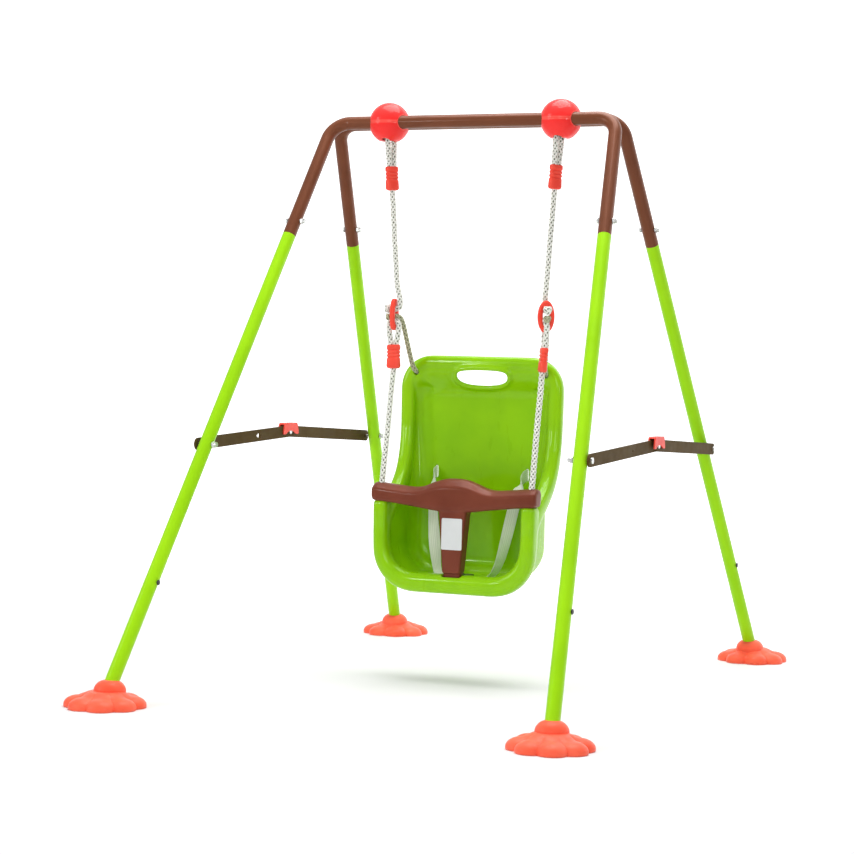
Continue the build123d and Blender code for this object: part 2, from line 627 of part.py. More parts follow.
def seat_shell():
    """Moulded bucket: thin tub and back panel inside a thick rolled rim."""
    side_rim = [(RIM_FRONT_Y, 300), (RIM_FRONT_Y, ARM_TOP), (-28, ARM_TOP), (25, 420), (60, 470),
                (BACK_FRONT_Y, 540), (BACK_FRONT_Y, 620), (BACK_REAR_Y, 620), (BACK_REAR_Y, 500),
                (86, 440), (50, 394), (-8, 352), (RIM_REAR_Y, 300)]
    openings = seat_openings()
    with BuildPart() as tub:
        with BuildSketch(Plane.XZ.offset(-BACK_REAR_Y)):
            with BuildLine():
                FilletPolyline((-TUB_OUT, 560), (-TUB_OUT, PAN_BOTTOM), (TUB_OUT, PAN_BOTTOM), (TUB_OUT, 560),
                               radius=66)
                Line((-TUB_OUT, 560), (TUB_OUT, 560))
            make_face()
        extrude(amount=BACK_REAR_Y - RIM_REAR_Y + 3)
        fillet(tub.faces().sort_by(Axis.Y)[-1].edges().filter_by(
            lambda edge: edge.center().Z < 550), 46)
    with BuildPart() as cavity:
        with BuildSketch(Plane.XZ.offset(-BACK_REAR_Y + WALL)):
            with BuildLine():
                FilletPolyline((-TUB_OUT + WALL, 600), (-TUB_OUT + WALL, PAN_BOTTOM + WALL),
                               (TUB_OUT - WALL, PAN_BOTTOM + WALL), (TUB_OUT - WALL, 600), radius=66 - WALL)
                Line((-TUB_OUT + WALL, 600), (TUB_OUT - WALL, 600))
            make_face()
        extrude(amount=BACK_REAR_Y - RIM_FRONT_Y + 20)
        fillet(cavity.faces().sort_by(Axis.Y)[-1].edges().filter_by(
            lambda edge: edge.center().Z < 590), 46 - WALL)
    with BuildPart() as above_arms:
        with BuildSketch(Plane.YZ.offset(-300)):
            Polygon((-120, ARM_TOP - 20), (-28, ARM_TOP - 20), (25, 402), (60, 452), (BACK_FRONT_Y + 8, 540),
                    (BACK_FRONT_Y + 8, 800), (-120, 800), align=None)
        extrude(amount=600)
    with BuildPart() as seat:
        add(tub.part)
        add(cavity.part, mode=Mode.SUBTRACT)
        add(above_arms.part, mode=Mode.SUBTRACT)
        with BuildSketch(Plane.XZ.offset(-BACK_REAR_Y)):
            with Locations((0, (SEAT_TOP + 540) / 2)):
                Rectangle(2 * RIM_IN + 20, SEAT_TOP - 540 - 20)
        extrude(amount=WALL)
        with BuildSketch(Plane.XZ.offset(-BACK_REAR_Y)) as back_ring:
            with BuildLine():
                FilletPolyline((-RIM_OUT + 2, 540), (-RIM_OUT + 2, SEAT_TOP), (RIM_OUT - 2, SEAT_TOP),
                               (RIM_OUT - 2, 540), radius=62)
                Line((-RIM_OUT + 2, 540), (RIM_OUT - 2, 540))
            make_face()
            with BuildLine():
                FilletPolyline((-RIM_IN + 1, 530), (-RIM_IN + 1, SEAT_TOP - 32), (RIM_IN - 1, SEAT_TOP - 32),
                               (RIM_IN - 1, 530), radius=30)
                Line((-RIM_IN + 1, 530), (RIM_IN - 1, 530))
            make_face(mode=Mode.SUBTRACT)
        extrude(amount=BACK_REAR_Y - BACK_FRONT_Y)
        with BuildSketch(Plane.XZ.offset(-RIM_REAR_Y)):
            with BuildLine():
                FilletPolyline((-RIM_OUT, ARM_TOP), (-RIM_OUT, SEAT_BOTTOM), (RIM_OUT, SEAT_BOTTOM),
                               (RIM_OUT, ARM_TOP), radius=80)
                Line((-RIM_OUT, ARM_TOP), (RIM_OUT, ARM_TOP))
            make_face()
            with BuildLine():
                FilletPolyline((-RIM_IN, 400), (-RIM_IN, LIP_TOP), (RIM_IN, LIP_TOP), (RIM_IN, 400), radius=47)
                Line((-RIM_IN, 400), (RIM_IN, 400))
            make_face(mode=Mode.SUBTRACT)
        extrude(amount=RIM_REAR_Y - RIM_FRONT_Y)
        for side in NAMES:
            with BuildSketch(Plane.YZ.offset(side * RIM_IN)):
                Polygon(*side_rim, align=None)
            extrude(amount=side * (RIM_OUT - RIM_IN))
        add(openings, mode=Mode.SUBTRACT)
    finish(seat, "seat_shell")


def seat_openings():
    """Handle, belt slots, rope holes, hollow front columns and the socket for the T-post."""
    inner_top, outer_top = SEAT_TOP - 32 + RIM_WALL, SEAT_TOP - RIM_WALL
    inner_x, outer_x = RIM_IN - 1 + RIM_WALL, RIM_OUT - 2 - RIM_WALL
    arm_channel = [(-26, 330), (-26, ARM_TOP - 6), (20, 410), (54, 464), (BACK_FRONT_Y + 5, 540),
                   (BACK_FRONT_Y + 5, 560), (110, 560), (110, 500), (92, 436), (57, 388), (-3, 345)]
    with BuildPart() as openings:
        with BuildSketch(Plane.XZ.offset(-BACK_REAR_Y - 5)):
            with BuildLine():
                FilletPolyline((-outer_x, 535), (-outer_x, outer_top), (outer_x, outer_top),
                               (outer_x, 535), radius=62 - RIM_WALL)
                Line((-outer_x, 535), (outer_x, 535))
            make_face()
            with BuildLine():
                FilletPolyline((-inner_x, 530), (-inner_x, inner_top), (inner_x, inner_top),
                               (inner_x, 530), radius=30 + RIM_WALL)
                Line((-inner_x, 530), (inner_x, 530))
            make_face(mode=Mode.SUBTRACT)
            with Locations((-BACK_HOLE[0], BACK_HOLE[1]), BACK_HOLE):
                Circle(12, mode=Mode.SUBTRACT)
        extrude(amount=BACK_REAR_Y - BACK_FRONT_Y - RIM_WALL + 5)
        for side in NAMES:
            with BuildSketch(Plane.YZ.offset(side * TUB_OUT)):
                Polygon(*arm_channel, align=None)
            extrude(amount=side * (RIM_OUT - RIM_WALL - TUB_OUT))
        with BuildSketch(Plane.XZ.offset(-BACK_REAR_Y - 5)):
            with Locations((0, HANDLE[2])):
                SlotOverall(HANDLE[0], HANDLE[1])
            with Locations((-BELT_SLOT_X, BELT_SLOT_Z), (BELT_SLOT_X, BELT_SLOT_Z)):
                Rectangle(5, BELT_SLOT_H)
            with Locations((-BACK_HOLE[0], BACK_HOLE[1]), BACK_HOLE):
                Circle(ROPE_R + 0.5)
        extrude(amount=BACK_REAR_Y - BACK_FRONT_Y + 10)
        for side in NAMES:
            with BuildSketch(Plane.XY.offset(255)):
                with Locations((side * (RIM_IN + RIM_OUT) / 2, (RIM_FRONT_Y + RIM_REAR_Y) / 2)):
                    Rectangle(RIM_OUT - RIM_IN - 9, RIM_REAR_Y - RIM_FRONT_Y - 5.0)
            extrude(amount=ARM_TOP - 17 - 255)
            low = rope_line(side, 340)
            with BuildSketch(Plane(origin=low, z_dir=rope_line(side, 500) - low)):
                Circle(ROPE_R + 0.6)
            extrude(amount=80)
        with BuildSketch(Plane.XY.offset(LIP_TOP - 16)):
            with Locations((0, BAR_Y + 2.5)):
                Rectangle(2 * POST_FOOT_HALF, 30)
        extrude(amount=40)
    return openings.part


def lap_belt(side):
    """Webbing from its slot in the back, down over the pan to the buckle."""
    start = (BACK_REAR_Y - WALL - 1.0, BELT_SLOT_Z)
    with BuildPart() as strap:
        with BuildSketch(Plane(origin=(side * BELT_SLOT_X, 0, 0), x_dir=(0, 1, 0), z_dir=(1, 0, 0))):
            with BuildLine():
                FilletPolyline(start, (62, 432), (40, 320), (28, 224), (-6, 221.5), radius=20)
            trace(line_width=1.6)
        extrude(amount=-side * 25)
        with BuildSketch(Plane(origin=(side * (BELT_SLOT_X - 25), BUCKLE_Y, 220.7))):
            Rectangle(BELT_SLOT_X - 25 - 27.5, 25, align=(Align.MIN if side < 0 else Align.MAX, Align.CENTER))
        extrude(amount=1.6)
    finish(strap, f"lap_belt_{NAMES[side]}")


def buckle():
    """Side-release buckle: a hollow body and the pronged tongue inside it."""
    middle = Vector(0, BUCKLE_Y, 219.3)
    with BuildPart() as body:
        with BuildSketch(Plane(origin=middle)):
            with Locations((-12, 0)):
                RectangleRounded(30, 34, 4)
        extrude(amount=11)
        with BuildSketch(Plane(origin=middle + Vector(0, 0, 3))):
            with Locations((-2, 0)):
                Rectangle(20, 25)
        extrude(amount=5, mode=Mode.SUBTRACT)
    finish(body, "buckle_body")
    with BuildPart() as tongue:
        with BuildSketch(Plane(origin=middle)):
            with Locations((14, 0)):
                RectangleRounded(20, 33, 3)
        extrude(amount=10.5)
        with BuildSketch(Plane(origin=middle + Vector(0, 0, 3.4))):
            with Locations((-3, 8), (-3, -8)):
                Rectangle(17, 5)
        extrude(amount=4.2)
    finish(tongue, "buckle_tongue")


# ---------------------------------------------------------------- T-bar

def t_bar():
    """Cross bar with a raised middle and a post that plugs into the front of the seat."""
    outline = [(-BAR_HALF, 384), (-BAR_HALF, 419), (-90, 412), (-38, 434), (38, 434), (90, 412),
               (BAR_HALF, 419), (BAR_HALF, 384), (90, 372), (42, 364), (-42, 364), (-90, 372)]
    with BuildPart() as bar:
        with BuildSketch(Plane.XZ.offset(-BAR_Y - BAR_DEPTH / 2)):
            with BuildLine():
                FilletPolyline(*outline, radius=10, close=True)
            make_face()
        extrude(amount=BAR_DEPTH)
        chamfer(bar.faces().sort_by(Axis.Y)[0].edges(), 4)
        chamfer(bar.faces().sort_by(Axis.Y)[-1].edges(), 4)
        with BuildSketch(Plane.XZ.offset(-BAR_Y - POST_DEPTH / 2)):
            Polygon((-POST_TOP_HALF, 380), (POST_TOP_HALF, 380), (POST_FOOT_HALF, LIP_TOP + 0.3),
                    (-POST_FOOT_HALF, LIP_TOP + 0.3), align=None)
        extrude(amount=POST_DEPTH)
        with BuildSketch(Plane.XY.offset(LIP_TOP - 14)):
            with Locations((0, BAR_Y)):
                Rectangle(2 * POST_FOOT_HALF - 2, 22)
        extrude(amount=20)
        for side in NAMES:
            low = rope_line(side, 340)
            with BuildSketch(Plane(origin=low, z_dir=rope_line(side, 500) - low)):
                Circle(ROPE_BORE_R)
            extrude(amount=120, mode=Mode.SUBTRACT)
    finish(bar, "t_bar")
    with BuildPart() as label:
        with BuildSketch(Plane(origin=(1.5, BAR_Y - POST_DEPTH / 2, 318), x_dir=(1, 0, 0), z_dir=(0, -1, 0))):
            RectangleRounded(46, 66, 3)
        extrude(amount=0.4)
    finish(label, "blank_label")


# ---------------------------------------------------------------- build everything

os.makedirs("parts", exist_ok=True)
for frame_end in ENDS:
    beam_tube(frame_end)
    foot_screws(frame_end)
    frame_bolts(frame_end)
    cap_nuts(frame_end)
    leg_plugs(frame_end)
    for frame_side in NAMES:
        leg_tube(frame_end, frame_side, "upper", SWAGE_TOP, JOINT_TOP, JOINT_MID, [BOLT_TOP, BRACE_BOLT])
        leg_tube(frame_end, frame_side, "lower", SWAGE_MID, JOINT_MID, LEG_END, [BRACE_BOLT])
        foot_base(frame_end, frame_side)
        foot_dome(frame_end, frame_side)
        brace_bar(frame_end, frame_side)
ball_hardware()
brace_rivets()
for frame_side in NAMES:
    ball_shell(frame_side, True)
    ball_shell(frame_side, False)
    lock_clip(frame_side)
    main_rope(frame_side)
    front_rope(frame_side)
    rear_rope(frame_side)
    clamp(mirrored(UPPER_CLAMP_BOTTOM, frame_side), mirrored(UPPER_CLAMP_TOP, frame_side), (0, 1, 0),
          f"upper_clamp_{NAMES[frame_side]}")
    clamp(mirrored(LOWER_CLAMP_BOTTOM, frame_side), mirrored(LOWER_CLAMP_TOP, frame_side),
          ring_normal(frame_side), f"lower_clamp_{NAMES[frame_side]}")
    ring(frame_side)
    lap_belt(frame_side)
seat_shell()
buckle()
t_bar()
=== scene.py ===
"""Visual model of the folding baby swing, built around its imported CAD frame."""
import json
import math

import bmesh
import bpy
from mathutils import Matrix, Vector


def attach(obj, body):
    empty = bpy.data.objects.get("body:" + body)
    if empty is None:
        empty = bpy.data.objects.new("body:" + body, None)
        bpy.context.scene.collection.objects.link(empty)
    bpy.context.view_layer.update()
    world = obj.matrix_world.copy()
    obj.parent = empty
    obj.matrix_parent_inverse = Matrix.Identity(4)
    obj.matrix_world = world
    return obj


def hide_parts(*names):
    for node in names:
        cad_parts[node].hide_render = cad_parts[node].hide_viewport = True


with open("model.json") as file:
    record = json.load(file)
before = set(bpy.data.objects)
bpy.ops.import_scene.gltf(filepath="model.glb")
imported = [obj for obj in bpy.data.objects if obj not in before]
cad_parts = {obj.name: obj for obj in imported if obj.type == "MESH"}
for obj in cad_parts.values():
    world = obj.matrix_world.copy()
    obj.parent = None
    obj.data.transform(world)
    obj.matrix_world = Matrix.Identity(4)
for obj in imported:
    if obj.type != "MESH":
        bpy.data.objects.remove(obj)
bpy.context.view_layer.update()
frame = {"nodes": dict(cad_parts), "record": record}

MM = 0.001
SIDES = {-1: "left", 1: "right"}
ENDS = {-1: "front", 1: "back"}


# ---------------------------------------------------------------- camera, light and floor

CAMERA_PLACE, LENS, SENSOR = (1.764, -4.368, 0.679), 93.8, 36.0
CAMERA_YAW, CAMERA_PITCH, CAMERA_ROLL = (math.radians(a) for a in (-23.0, -1.70, 1.43))
FLOOR_FRONT, FLOOR_BACK, FLOOR_HALF, COVE_R, WALL_TOP = -9.0, 5.0, 12.0, 2.5, 9.0
GLOW_FROM, GLOW_TO, GLOW = 0.5, 2.6, 0.9


def look_at(obj, target):
    """Turns a light towards a point."""
    obj.rotation_euler = (Vector(target) - obj.location).to_track_quat("-Z", "Y").to_euler()


def make_camera():
    """Long-lens view from the front right, a little below the top of the seat."""
    level = math.cos(CAMERA_PITCH)
    forward = Vector((math.sin(CAMERA_YAW) * level, math.cos(CAMERA_YAW) * level, math.sin(CAMERA_PITCH)))
    data = bpy.data.cameras.new("photo_camera")
    data.sensor_width = SENSOR
    data.lens = LENS
    camera = bpy.data.objects.new("photo_camera", data)
    camera.location = CAMERA_PLACE
    turn = forward.to_track_quat("-Z", "Y").to_matrix()
    camera.rotation_euler = (turn @ Matrix.Rotation(CAMERA_ROLL, 3, "Z")).to_euler()
    bpy.context.scene.collection.objects.link(camera)
    bpy.context.scene.camera = camera


def area_light(name, place, size, power, target=(0, 0, 0.55)):
    """One soft box."""
    data = bpy.data.lights.new(name, "AREA")
    data.shape = "RECTANGLE"
    data.size, data.size_y = size
    data.energy = power
    light = bpy.data.objects.new(name, data)
    light.location = place
    look_at(light, target)
    bpy.context.scene.collection.objects.link(light)


def make_studio():
    """Soft white studio: pale floor that curves up into a glowing backdrop, and soft boxes."""
    world = bpy.data.worlds.new("studio")
    world.use_nodes = True
    background = world.node_tree.nodes["Background"]
    background.inputs["Color"].default_value = (1.0, 1.0, 1.0, 1.0)
    background.inputs["Strength"].default_value = 0.42
    bpy.context.scene.world = world
    bpy.context.scene.view_settings.view_transform = "Standard"
    area_light("top_box", (0.15, 0.25, 3.4), (2.4, 2.4), 116)
    area_light("left_box", (-3.2, -2.9, 1.9), (1.6, 2.2), 46)
    area_light("front_box", (1.4, -4.7, 1.7), (1.8, 1.4), 30)
    area_light("glint_left", (-1.9, -4.2, 1.5), (0.14, 0.9), 14)
    area_light("glint_right", (3.4, -2.6, 1.3), (0.14, 1.0), 12)
    profile = [(FLOOR_FRONT, 0.0), (FLOOR_BACK, 0.0)]
    profile += [(FLOOR_BACK + COVE_R * math.sin(a), COVE_R * (1.0 - math.cos(a)))
                for a in (math.pi / 24 * k for k in range(1, 13))]
    profile.append((FLOOR_BACK + COVE_R, WALL_TOP))
    floor = mesh_object("floor", [(x, y, z) for y, z in profile for x in (-FLOOR_HALF, FLOOR_HALF)],
                        [(2 * i, 2 * i + 1, 2 * i + 3, 2 * i + 2) for i in range(len(profile) - 1)])
    smooth(floor)
    material, shader, place = new_material("floor_paper", (0.76, 0.76, 0.76), 0.9)
    paint_noise(material, shader, (0.75, 0.75, 0.75), (0.77, 0.77, 0.77), 3.0)
    tree = material.node_tree
    parts = tree.nodes.new("ShaderNodeSeparateXYZ")
    glow = tree.nodes.new("ShaderNodeMapRange")
    for name, value in (("From Min", GLOW_FROM), ("From Max", GLOW_TO), ("To Min", 0.0), ("To Max", GLOW)):
        glow.inputs[name].default_value = value
    tree.links.new(place, parts.inputs["Vector"])
    tree.links.new(parts.outputs["Y"], glow.inputs["Value"])
    shader.inputs["Emission Color"].default_value = (1.0, 1.0, 1.0, 1.0)
    tree.links.new(glow.outputs["Result"], shader.inputs["Emission Strength"])
    floor.data.materials.append(material)


# ---------------------------------------------------------------- mesh helpers

def mesh_object(name, points, faces):
    """New mesh object from points in metres."""
    mesh = bpy.data.meshes.new(name)
    mesh.from_pydata([tuple(p) for p in points], [], faces)
    mesh.validate()
    mesh.update()
    obj = bpy.data.objects.new(name, mesh)
    bpy.context.scene.collection.objects.link(obj)
    return obj


def smooth(obj, angle=None):
    """Smooth shading, kept sharp over an angle in degrees where one is given."""
    for face in obj.data.polygons:
        face.use_smooth = True
    if angle is not None:
        obj.data.set_sharp_from_angle(angle=math.radians(angle))


def recalc(obj):
    """Makes all normals point outwards."""
    work = bmesh.new()
    work.from_mesh(obj.data)
    bmesh.ops.recalc_face_normals(work, faces=work.faces)
    work.to_mesh(obj.data)
    work.free()


def copy_node(node, name):
    """Own copy of a CAD node's mesh."""
    obj = bpy.data.objects.new(name, frame["nodes"][node].data.copy())
    obj.data.materials.clear()
    bpy.context.scene.collection.objects.link(obj)
    return obj


def apply_modifiers(obj):
    """Replaces the mesh by its modified result."""
    graph = bpy.context.evaluated_depsgraph_get()
    mesh = bpy.data.meshes.new_from_object(obj.evaluated_get(graph))
    obj.modifiers.clear()
    obj.data = mesh


def remesh(obj, voxel, rounds):
    """Voxel remesh with smoothing: moulded pieces with every edge rounded."""
    modifier = obj.modifiers.new("remesh", "REMESH")
    modifier.mode = "VOXEL"
    modifier.voxel_size = voxel
    modifier = obj.modifiers.new("soften", "SMOOTH")
    modifier.factor = 0.5
    modifier.iterations = rounds
    apply_modifiers(obj)
    smooth(obj)


def boolean(obj, cutter):
    """Cuts one closed mesh out of another."""
    modifier = obj.modifiers.new("cut", "BOOLEAN")
    modifier.operation = "DIFFERENCE"
    modifier.solver = "EXACT"
    modifier.object = cutter
    apply_modifiers(obj)
    bpy.data.objects.remove(cutter)


def join(name, pieces):
    """One object out of several."""
    points, faces = [], []
    for piece in pieces:
        base = len(points)
        points += [piece.matrix_world @ v.co for v in piece.data.vertices]
        faces += [[base + i for i in p.vertices] for p in piece.data.polygons]
        bpy.data.objects.remove(piece)
    return mesh_object(name, points, faces)


def prism(name, outline, start, depth, up=False):
    """Closed prism from an outline in x and z, along y, or in x and y, along z."""
    count = len(outline)
    rings = [[((x, y, t) if up else (x, t, y)) for x, y in outline] for t in (start, start + depth)]
    faces = [list(range(count)), list(range(2 * count - 1, count - 1, -1))]
    faces += [(i, (i + 1) % count, count + (i + 1) % count, count + i) for i in range(count)]
    obj = mesh_object(name, rings[0] + rings[1], faces)
    recalc(obj)
    return obj


def loft(name, rings, closed=False):
    """Skin over rings of the same count of points, with its ends capped or joined."""
    count = len(rings[0])
    points = [p for ring in rings for p in ring]
    faces = []
    last = len(rings) if closed else len(rings) - 1
    for i in range(last):
        a, b = i * count, ((i + 1) % len(rings)) * count
        faces += [(a + j, a + (j + 1) % count, b + (j + 1) % count, b + j) for j in range(count)]
    if not closed:
        faces += [list(range(count - 1, -1, -1)), list(range(len(points) - count, len(points)))]
    obj = mesh_object(name, points, faces)
    recalc(obj)
    return obj


def swell(value, power):
    """Cosine or sine pushed outwards, which squares a round off."""
    return math.copysign(abs(value) ** (2 / power), value)


def superellipse(a, b, power, count):
    """Points of a rounded-rectangle section."""
    points = []
    for i in range(count):
        c, s = math.cos(2 * math.pi * i / count), math.sin(2 * math.pi * i / count)
        points.append((a * swell(c, power), b * swell(s, power)))
    return points


# ---------------------------------------------------------------- materials

def new_material(name, color, roughness, metallic=0.0, coat=0.0, sheen=0.0):
    """Material with its constant values set on the shader's own sockets."""
    material = bpy.data.materials.new(name)
    material.use_nodes = True
    tree = material.node_tree
    shader = tree.nodes["Principled BSDF"]
    shader.inputs["Base Color"].default_value = (*color, 1.0)
    shader.inputs["Roughness"].default_value = roughness
    shader.inputs["Metallic"].default_value = metallic
    shader.inputs["Coat Weight"].default_value = coat
    if not metallic:
        strongest = max(color)
        shader.inputs["Specular Tint"].default_value = (*[0.12 + 0.88 * c / strongest for c in color], 1.0)
        shader.inputs["Specular IOR Level"].default_value = 0.42 if strongest > 0.1 else 0.2
    shader.inputs["Coat Roughness"].default_value = 0.10
    shader.inputs["Sheen Weight"].default_value = sheen
    place = tree.nodes.new("ShaderNodeTexCoord")
    return material, shader, place.outputs["Object"]


def noise(material, place, scale, detail=4.0, stretch=None):
    """Noise over the object's own coordinates."""
    tree = material.node_tree
    node = tree.nodes.new("ShaderNodeTexNoise")
    node.inputs["Scale"].default_value = scale
    node.inputs["Detail"].default_value = detail
    if stretch:
        mapping = tree.nodes.new("ShaderNodeMapping")
        mapping.inputs["Scale"].default_value = stretch
        tree.links.new(place, mapping.inputs["Vector"])
        place = mapping.outputs["Vector"]
    tree.links.new(place, node.inputs["Vector"])
    return node.outputs["Fac"]


def ramp(material, value, low, high, at=(0.35, 0.65)):
    """Colour ramp over a value."""
    node = material.node_tree.nodes.new("ShaderNodeValToRGB")
    node.color_ramp.elements[0].position, node.color_ramp.elements[1].position = at
    node.color_ramp.elements[0].color = (*low, 1.0)
    node.color_ramp.elements[1].color = (*high, 1.0)
    material.node_tree.links.new(value, node.inputs["Fac"])
    return node.outputs["Color"]


def spread(material, value, low, high):
    """Maps noise to a range."""
    node = material.node_tree.nodes.new("ShaderNodeMapRange")
    node.inputs["From Min"].default_value = 0.3
    node.inputs["From Max"].default_value = 0.7
    node.inputs["To Min"].default_value = low
    node.inputs["To Max"].default_value = high
    material.node_tree.links.new(value, node.inputs["Value"])
    return node.outputs["Result"]


def bump(material, shader, value, height):
    """Bump in metres from a value, on top of any bump that is there."""
    tree = material.node_tree
    node = tree.nodes.new("ShaderNodeBump")
    node.inputs["Strength"].default_value = 1.0
    node.inputs["Distance"].default_value = height
    tree.links.new(value, node.inputs["Height"])
    if shader.inputs["Normal"].links:
        tree.links.new(shader.inputs["Normal"].links[0].from_socket, node.inputs["Normal"])
    tree.links.new(node.outputs["Normal"], shader.inputs["Normal"])


def paint_noise(material, shader, low, high, scale):
    """Soft colour variation."""
    place = material.node_tree.nodes["Texture Coordinate"].outputs["Object"]
    material.node_tree.links.new(ramp(material, noise(material, place, scale), low, high),
                                 shader.inputs["Base Color"])


def edge_highlight(material, shader, highlight_colour, amount):
    """Lightens convex edges a little: a painted highlight along the edges."""
    tree = material.node_tree
    geometry = tree.nodes.new("ShaderNodeNewGeometry")
    edges = tree.nodes.new("ShaderNodeValToRGB")
    edges.color_ramp.elements[0].position, edges.color_ramp.elements[1].position = 0.52, 0.62
    edges.color_ramp.elements[1].color = (amount, amount, amount, 1.0)
    tree.links.new(geometry.outputs["Pointiness"], edges.inputs["Fac"])
    mix = tree.nodes.new("ShaderNodeMix")
    mix.data_type = "RGBA"
    tree.links.new(edges.outputs["Color"], mix.inputs["Factor"])
    tree.links.new(shader.inputs["Base Color"].links[0].from_socket, mix.inputs["A"])
    # The lighter edge colour is a painted highlight.
    mix.inputs["B"].default_value = (*highlight_colour, 1.0)
    tree.links.new(mix.outputs["Result"], shader.inputs["Base Color"])


def paint(name, low, high, roughness, coat):
    """Powder coat: slight colour drift, orange-peel bump and a clear gloss."""
    material, shader, place = new_material(name, high, roughness, coat=coat)
    paint_noise(material, shader, low, high, 9.0)
    clouds = spread(material, noise(material, place, 40.0), roughness - 0.06, roughness + 0.08)
    material.node_tree.links.new(clouds, shader.inputs["Roughness"])
    bump(material, shader, noise(material, place, 700.0, 2.0), 0.00003)
    return material


def moulded(name, low, high, roughness, coat=0.15, grain=0.00004, highlight_colour=None, glow=0.0):
    """Moulded plastic: cloudy pigment, fine grain, faint flow marks, and a painted highlight on convex edges
    where a colour for it is given.
    """
    material, shader, place = new_material(name, high, roughness, coat=coat)
    paint_noise(material, shader, low, high, 14.0)
    # Convex edges painted lighter: a painted highlight.
    if highlight_colour:
        edge_highlight(material, shader, highlight_colour, 0.35)
    streaks = noise(material, place, 60.0, 6.0, stretch=(1.0, 1.0, 0.25))
    material.node_tree.links.new(spread(material, streaks, roughness - 0.07, roughness + 0.1),
                                 shader.inputs["Roughness"])
    bump(material, shader, noise(material, place, 900.0, 3.0), grain)
    bump(material, shader, noise(material, place, 35.0, 2.0), grain * 6)
    if glow:
        shader.inputs["Subsurface Weight"].default_value = glow
        shader.inputs["Subsurface Radius"].default_value = (0.004, 0.006, 0.002)
        shader.inputs["Subsurface Scale"].default_value = 1.0
    return material


def rope_material(name, low, high):
    """Polyethylene yarn: fine lengthwise fibres and a slight sheen."""
    material, shader, place = new_material(name, high, 0.62, sheen=0.25)
    paint_noise(material, shader, low, high, 420.0)
    bump(material, shader, noise(material, place, 1500.0, 3.0), 0.0002)
    return material


def weave_material(name, low, high):
    """Woven strap: warp and weft from two crossed waves on the strap's own map."""
    material, shader, _ = new_material(name, high, 0.75, sheen=0.3)
    tree = material.node_tree
    uv = tree.nodes["Texture Coordinate"].outputs["UV"]
    waves = []
    for direction in ("X", "Y"):
        wave = tree.nodes.new("ShaderNodeTexWave")
        wave.bands_direction = direction
        wave.inputs["Scale"].default_value = 190.0 if direction == "X" else 150.0
        wave.inputs["Distortion"].default_value = 0.6
        tree.links.new(uv, wave.inputs["Vector"])
        waves.append(wave.outputs["Fac"])
    cross = tree.nodes.new("ShaderNodeMath")
    cross.operation = "MULTIPLY"
    tree.links.new(waves[0], cross.inputs[0])
    tree.links.new(waves[1], cross.inputs[1])
    colour = ramp(material, cross.outputs[0], low, high, at=(0.0, 0.55))
    tree.links.new(colour, shader.inputs["Base Color"])
    bump(material, shader, cross.outputs[0], 0.0003)
    return material


def metal(name, low, high, roughness):
    """Zinc plate: bright, with cloudy passivation and fine scratches."""
    material, shader, place = new_material(name, high, roughness, metallic=1.0)
    paint_noise(material, shader, low, high, 120.0)
    clouds = spread(material, noise(material, place, 300.0, 5.0), roughness - 0.08, roughness + 0.14)
    material.node_tree.links.new(clouds, shader.inputs["Roughness"])
    bump(material, shader, noise(material, place, 900.0), 0.00003)
    return material


MATERIALS = {
    "lime_paint": paint("lime_powder_coat", (0.300, 0.640, 0.004), (0.340, 0.700, 0.006), 0.38, 0.12),
    "brown_paint": paint("brown_powder_coat", (0.125, 0.040, 0.018), (0.155, 0.050, 0.023), 0.38, 0.15),
    "dark_brown_paint": paint("dark_brown_paint", (0.066, 0.040, 0.011), (0.084, 0.052, 0.015), 0.65, 0.0),
    "zinc": metal("zinc_plate", (0.55, 0.56, 0.55), (0.78, 0.79, 0.78), 0.3),
    "black_plastic": moulded("black_plug_plastic", (0.02, 0.02, 0.02), (0.04, 0.04, 0.04), 0.45),
    "salmon_plastic": moulded("salmon_foot_plastic", (0.90, 0.105, 0.050), (1.0, 0.155, 0.085), 0.46,
                              coat=0.05, highlight_colour=(1.0, 0.30, 0.20), glow=0.05),
    "coral_plastic": moulded("coral_ball_plastic", (0.90, 0.026, 0.024), (0.98, 0.040, 0.034), 0.50,
                             coat=0.35, highlight_colour=(1.0, 0.20, 0.15)),
    "red_plastic": moulded("red_clamp_plastic", (0.82, 0.055, 0.035), (0.94, 0.085, 0.055), 0.42,
                           coat=0.1, highlight_colour=(1.0, 0.28, 0.20)),
    "rope": rope_material("white_yarn", (0.74, 0.75, 0.68), (0.95, 0.95, 0.91)),
    # Dark grey-green core yarn: its darkness paints the shade in the gaps between the white strands.
    "rope_core_gap_shade": rope_material("grey_green_gap_shade_yarn", (0.060, 0.070, 0.045), (0.15, 0.165, 0.11)),
    # White rope yarn painted olive and darker for the rear ropes: painted shade, as they hang in shadow
    # behind the rings.
    "olive_rope": rope_material("painted_shade_olive_yarn", (0.36, 0.37, 0.22), (0.60, 0.60, 0.42)),
    "webbing": weave_material("belt_weave", (0.66, 0.74, 0.58), (0.93, 0.97, 0.84)),
    "seat_plastic": moulded("lime_seat_plastic", (0.235, 0.530, 0.000), (0.272, 0.585, 0.000), 0.32,
                            coat=0.4, grain=0.00002, highlight_colour=(0.34, 0.70, 0.01), glow=0.05),
    "buckle_plastic": moulded("buckle_plastic", (0.018, 0.018, 0.018), (0.035, 0.035, 0.035), 0.4),
    "t_bar_plastic": moulded("brown_bar_plastic", (0.130, 0.030, 0.016), (0.165, 0.040, 0.022), 0.42,
                             coat=0.12, highlight_colour=(0.26, 0.085, 0.05)),
    "label": moulded("blank_sticker", (0.62, 0.64, 0.65), (0.68, 0.70, 0.70), 0.45, coat=0.15),
}


def dress(obj, slot):
    """Gives an object one material."""
    obj.data.materials.clear()
    obj.data.materials.append(MATERIALS[slot])


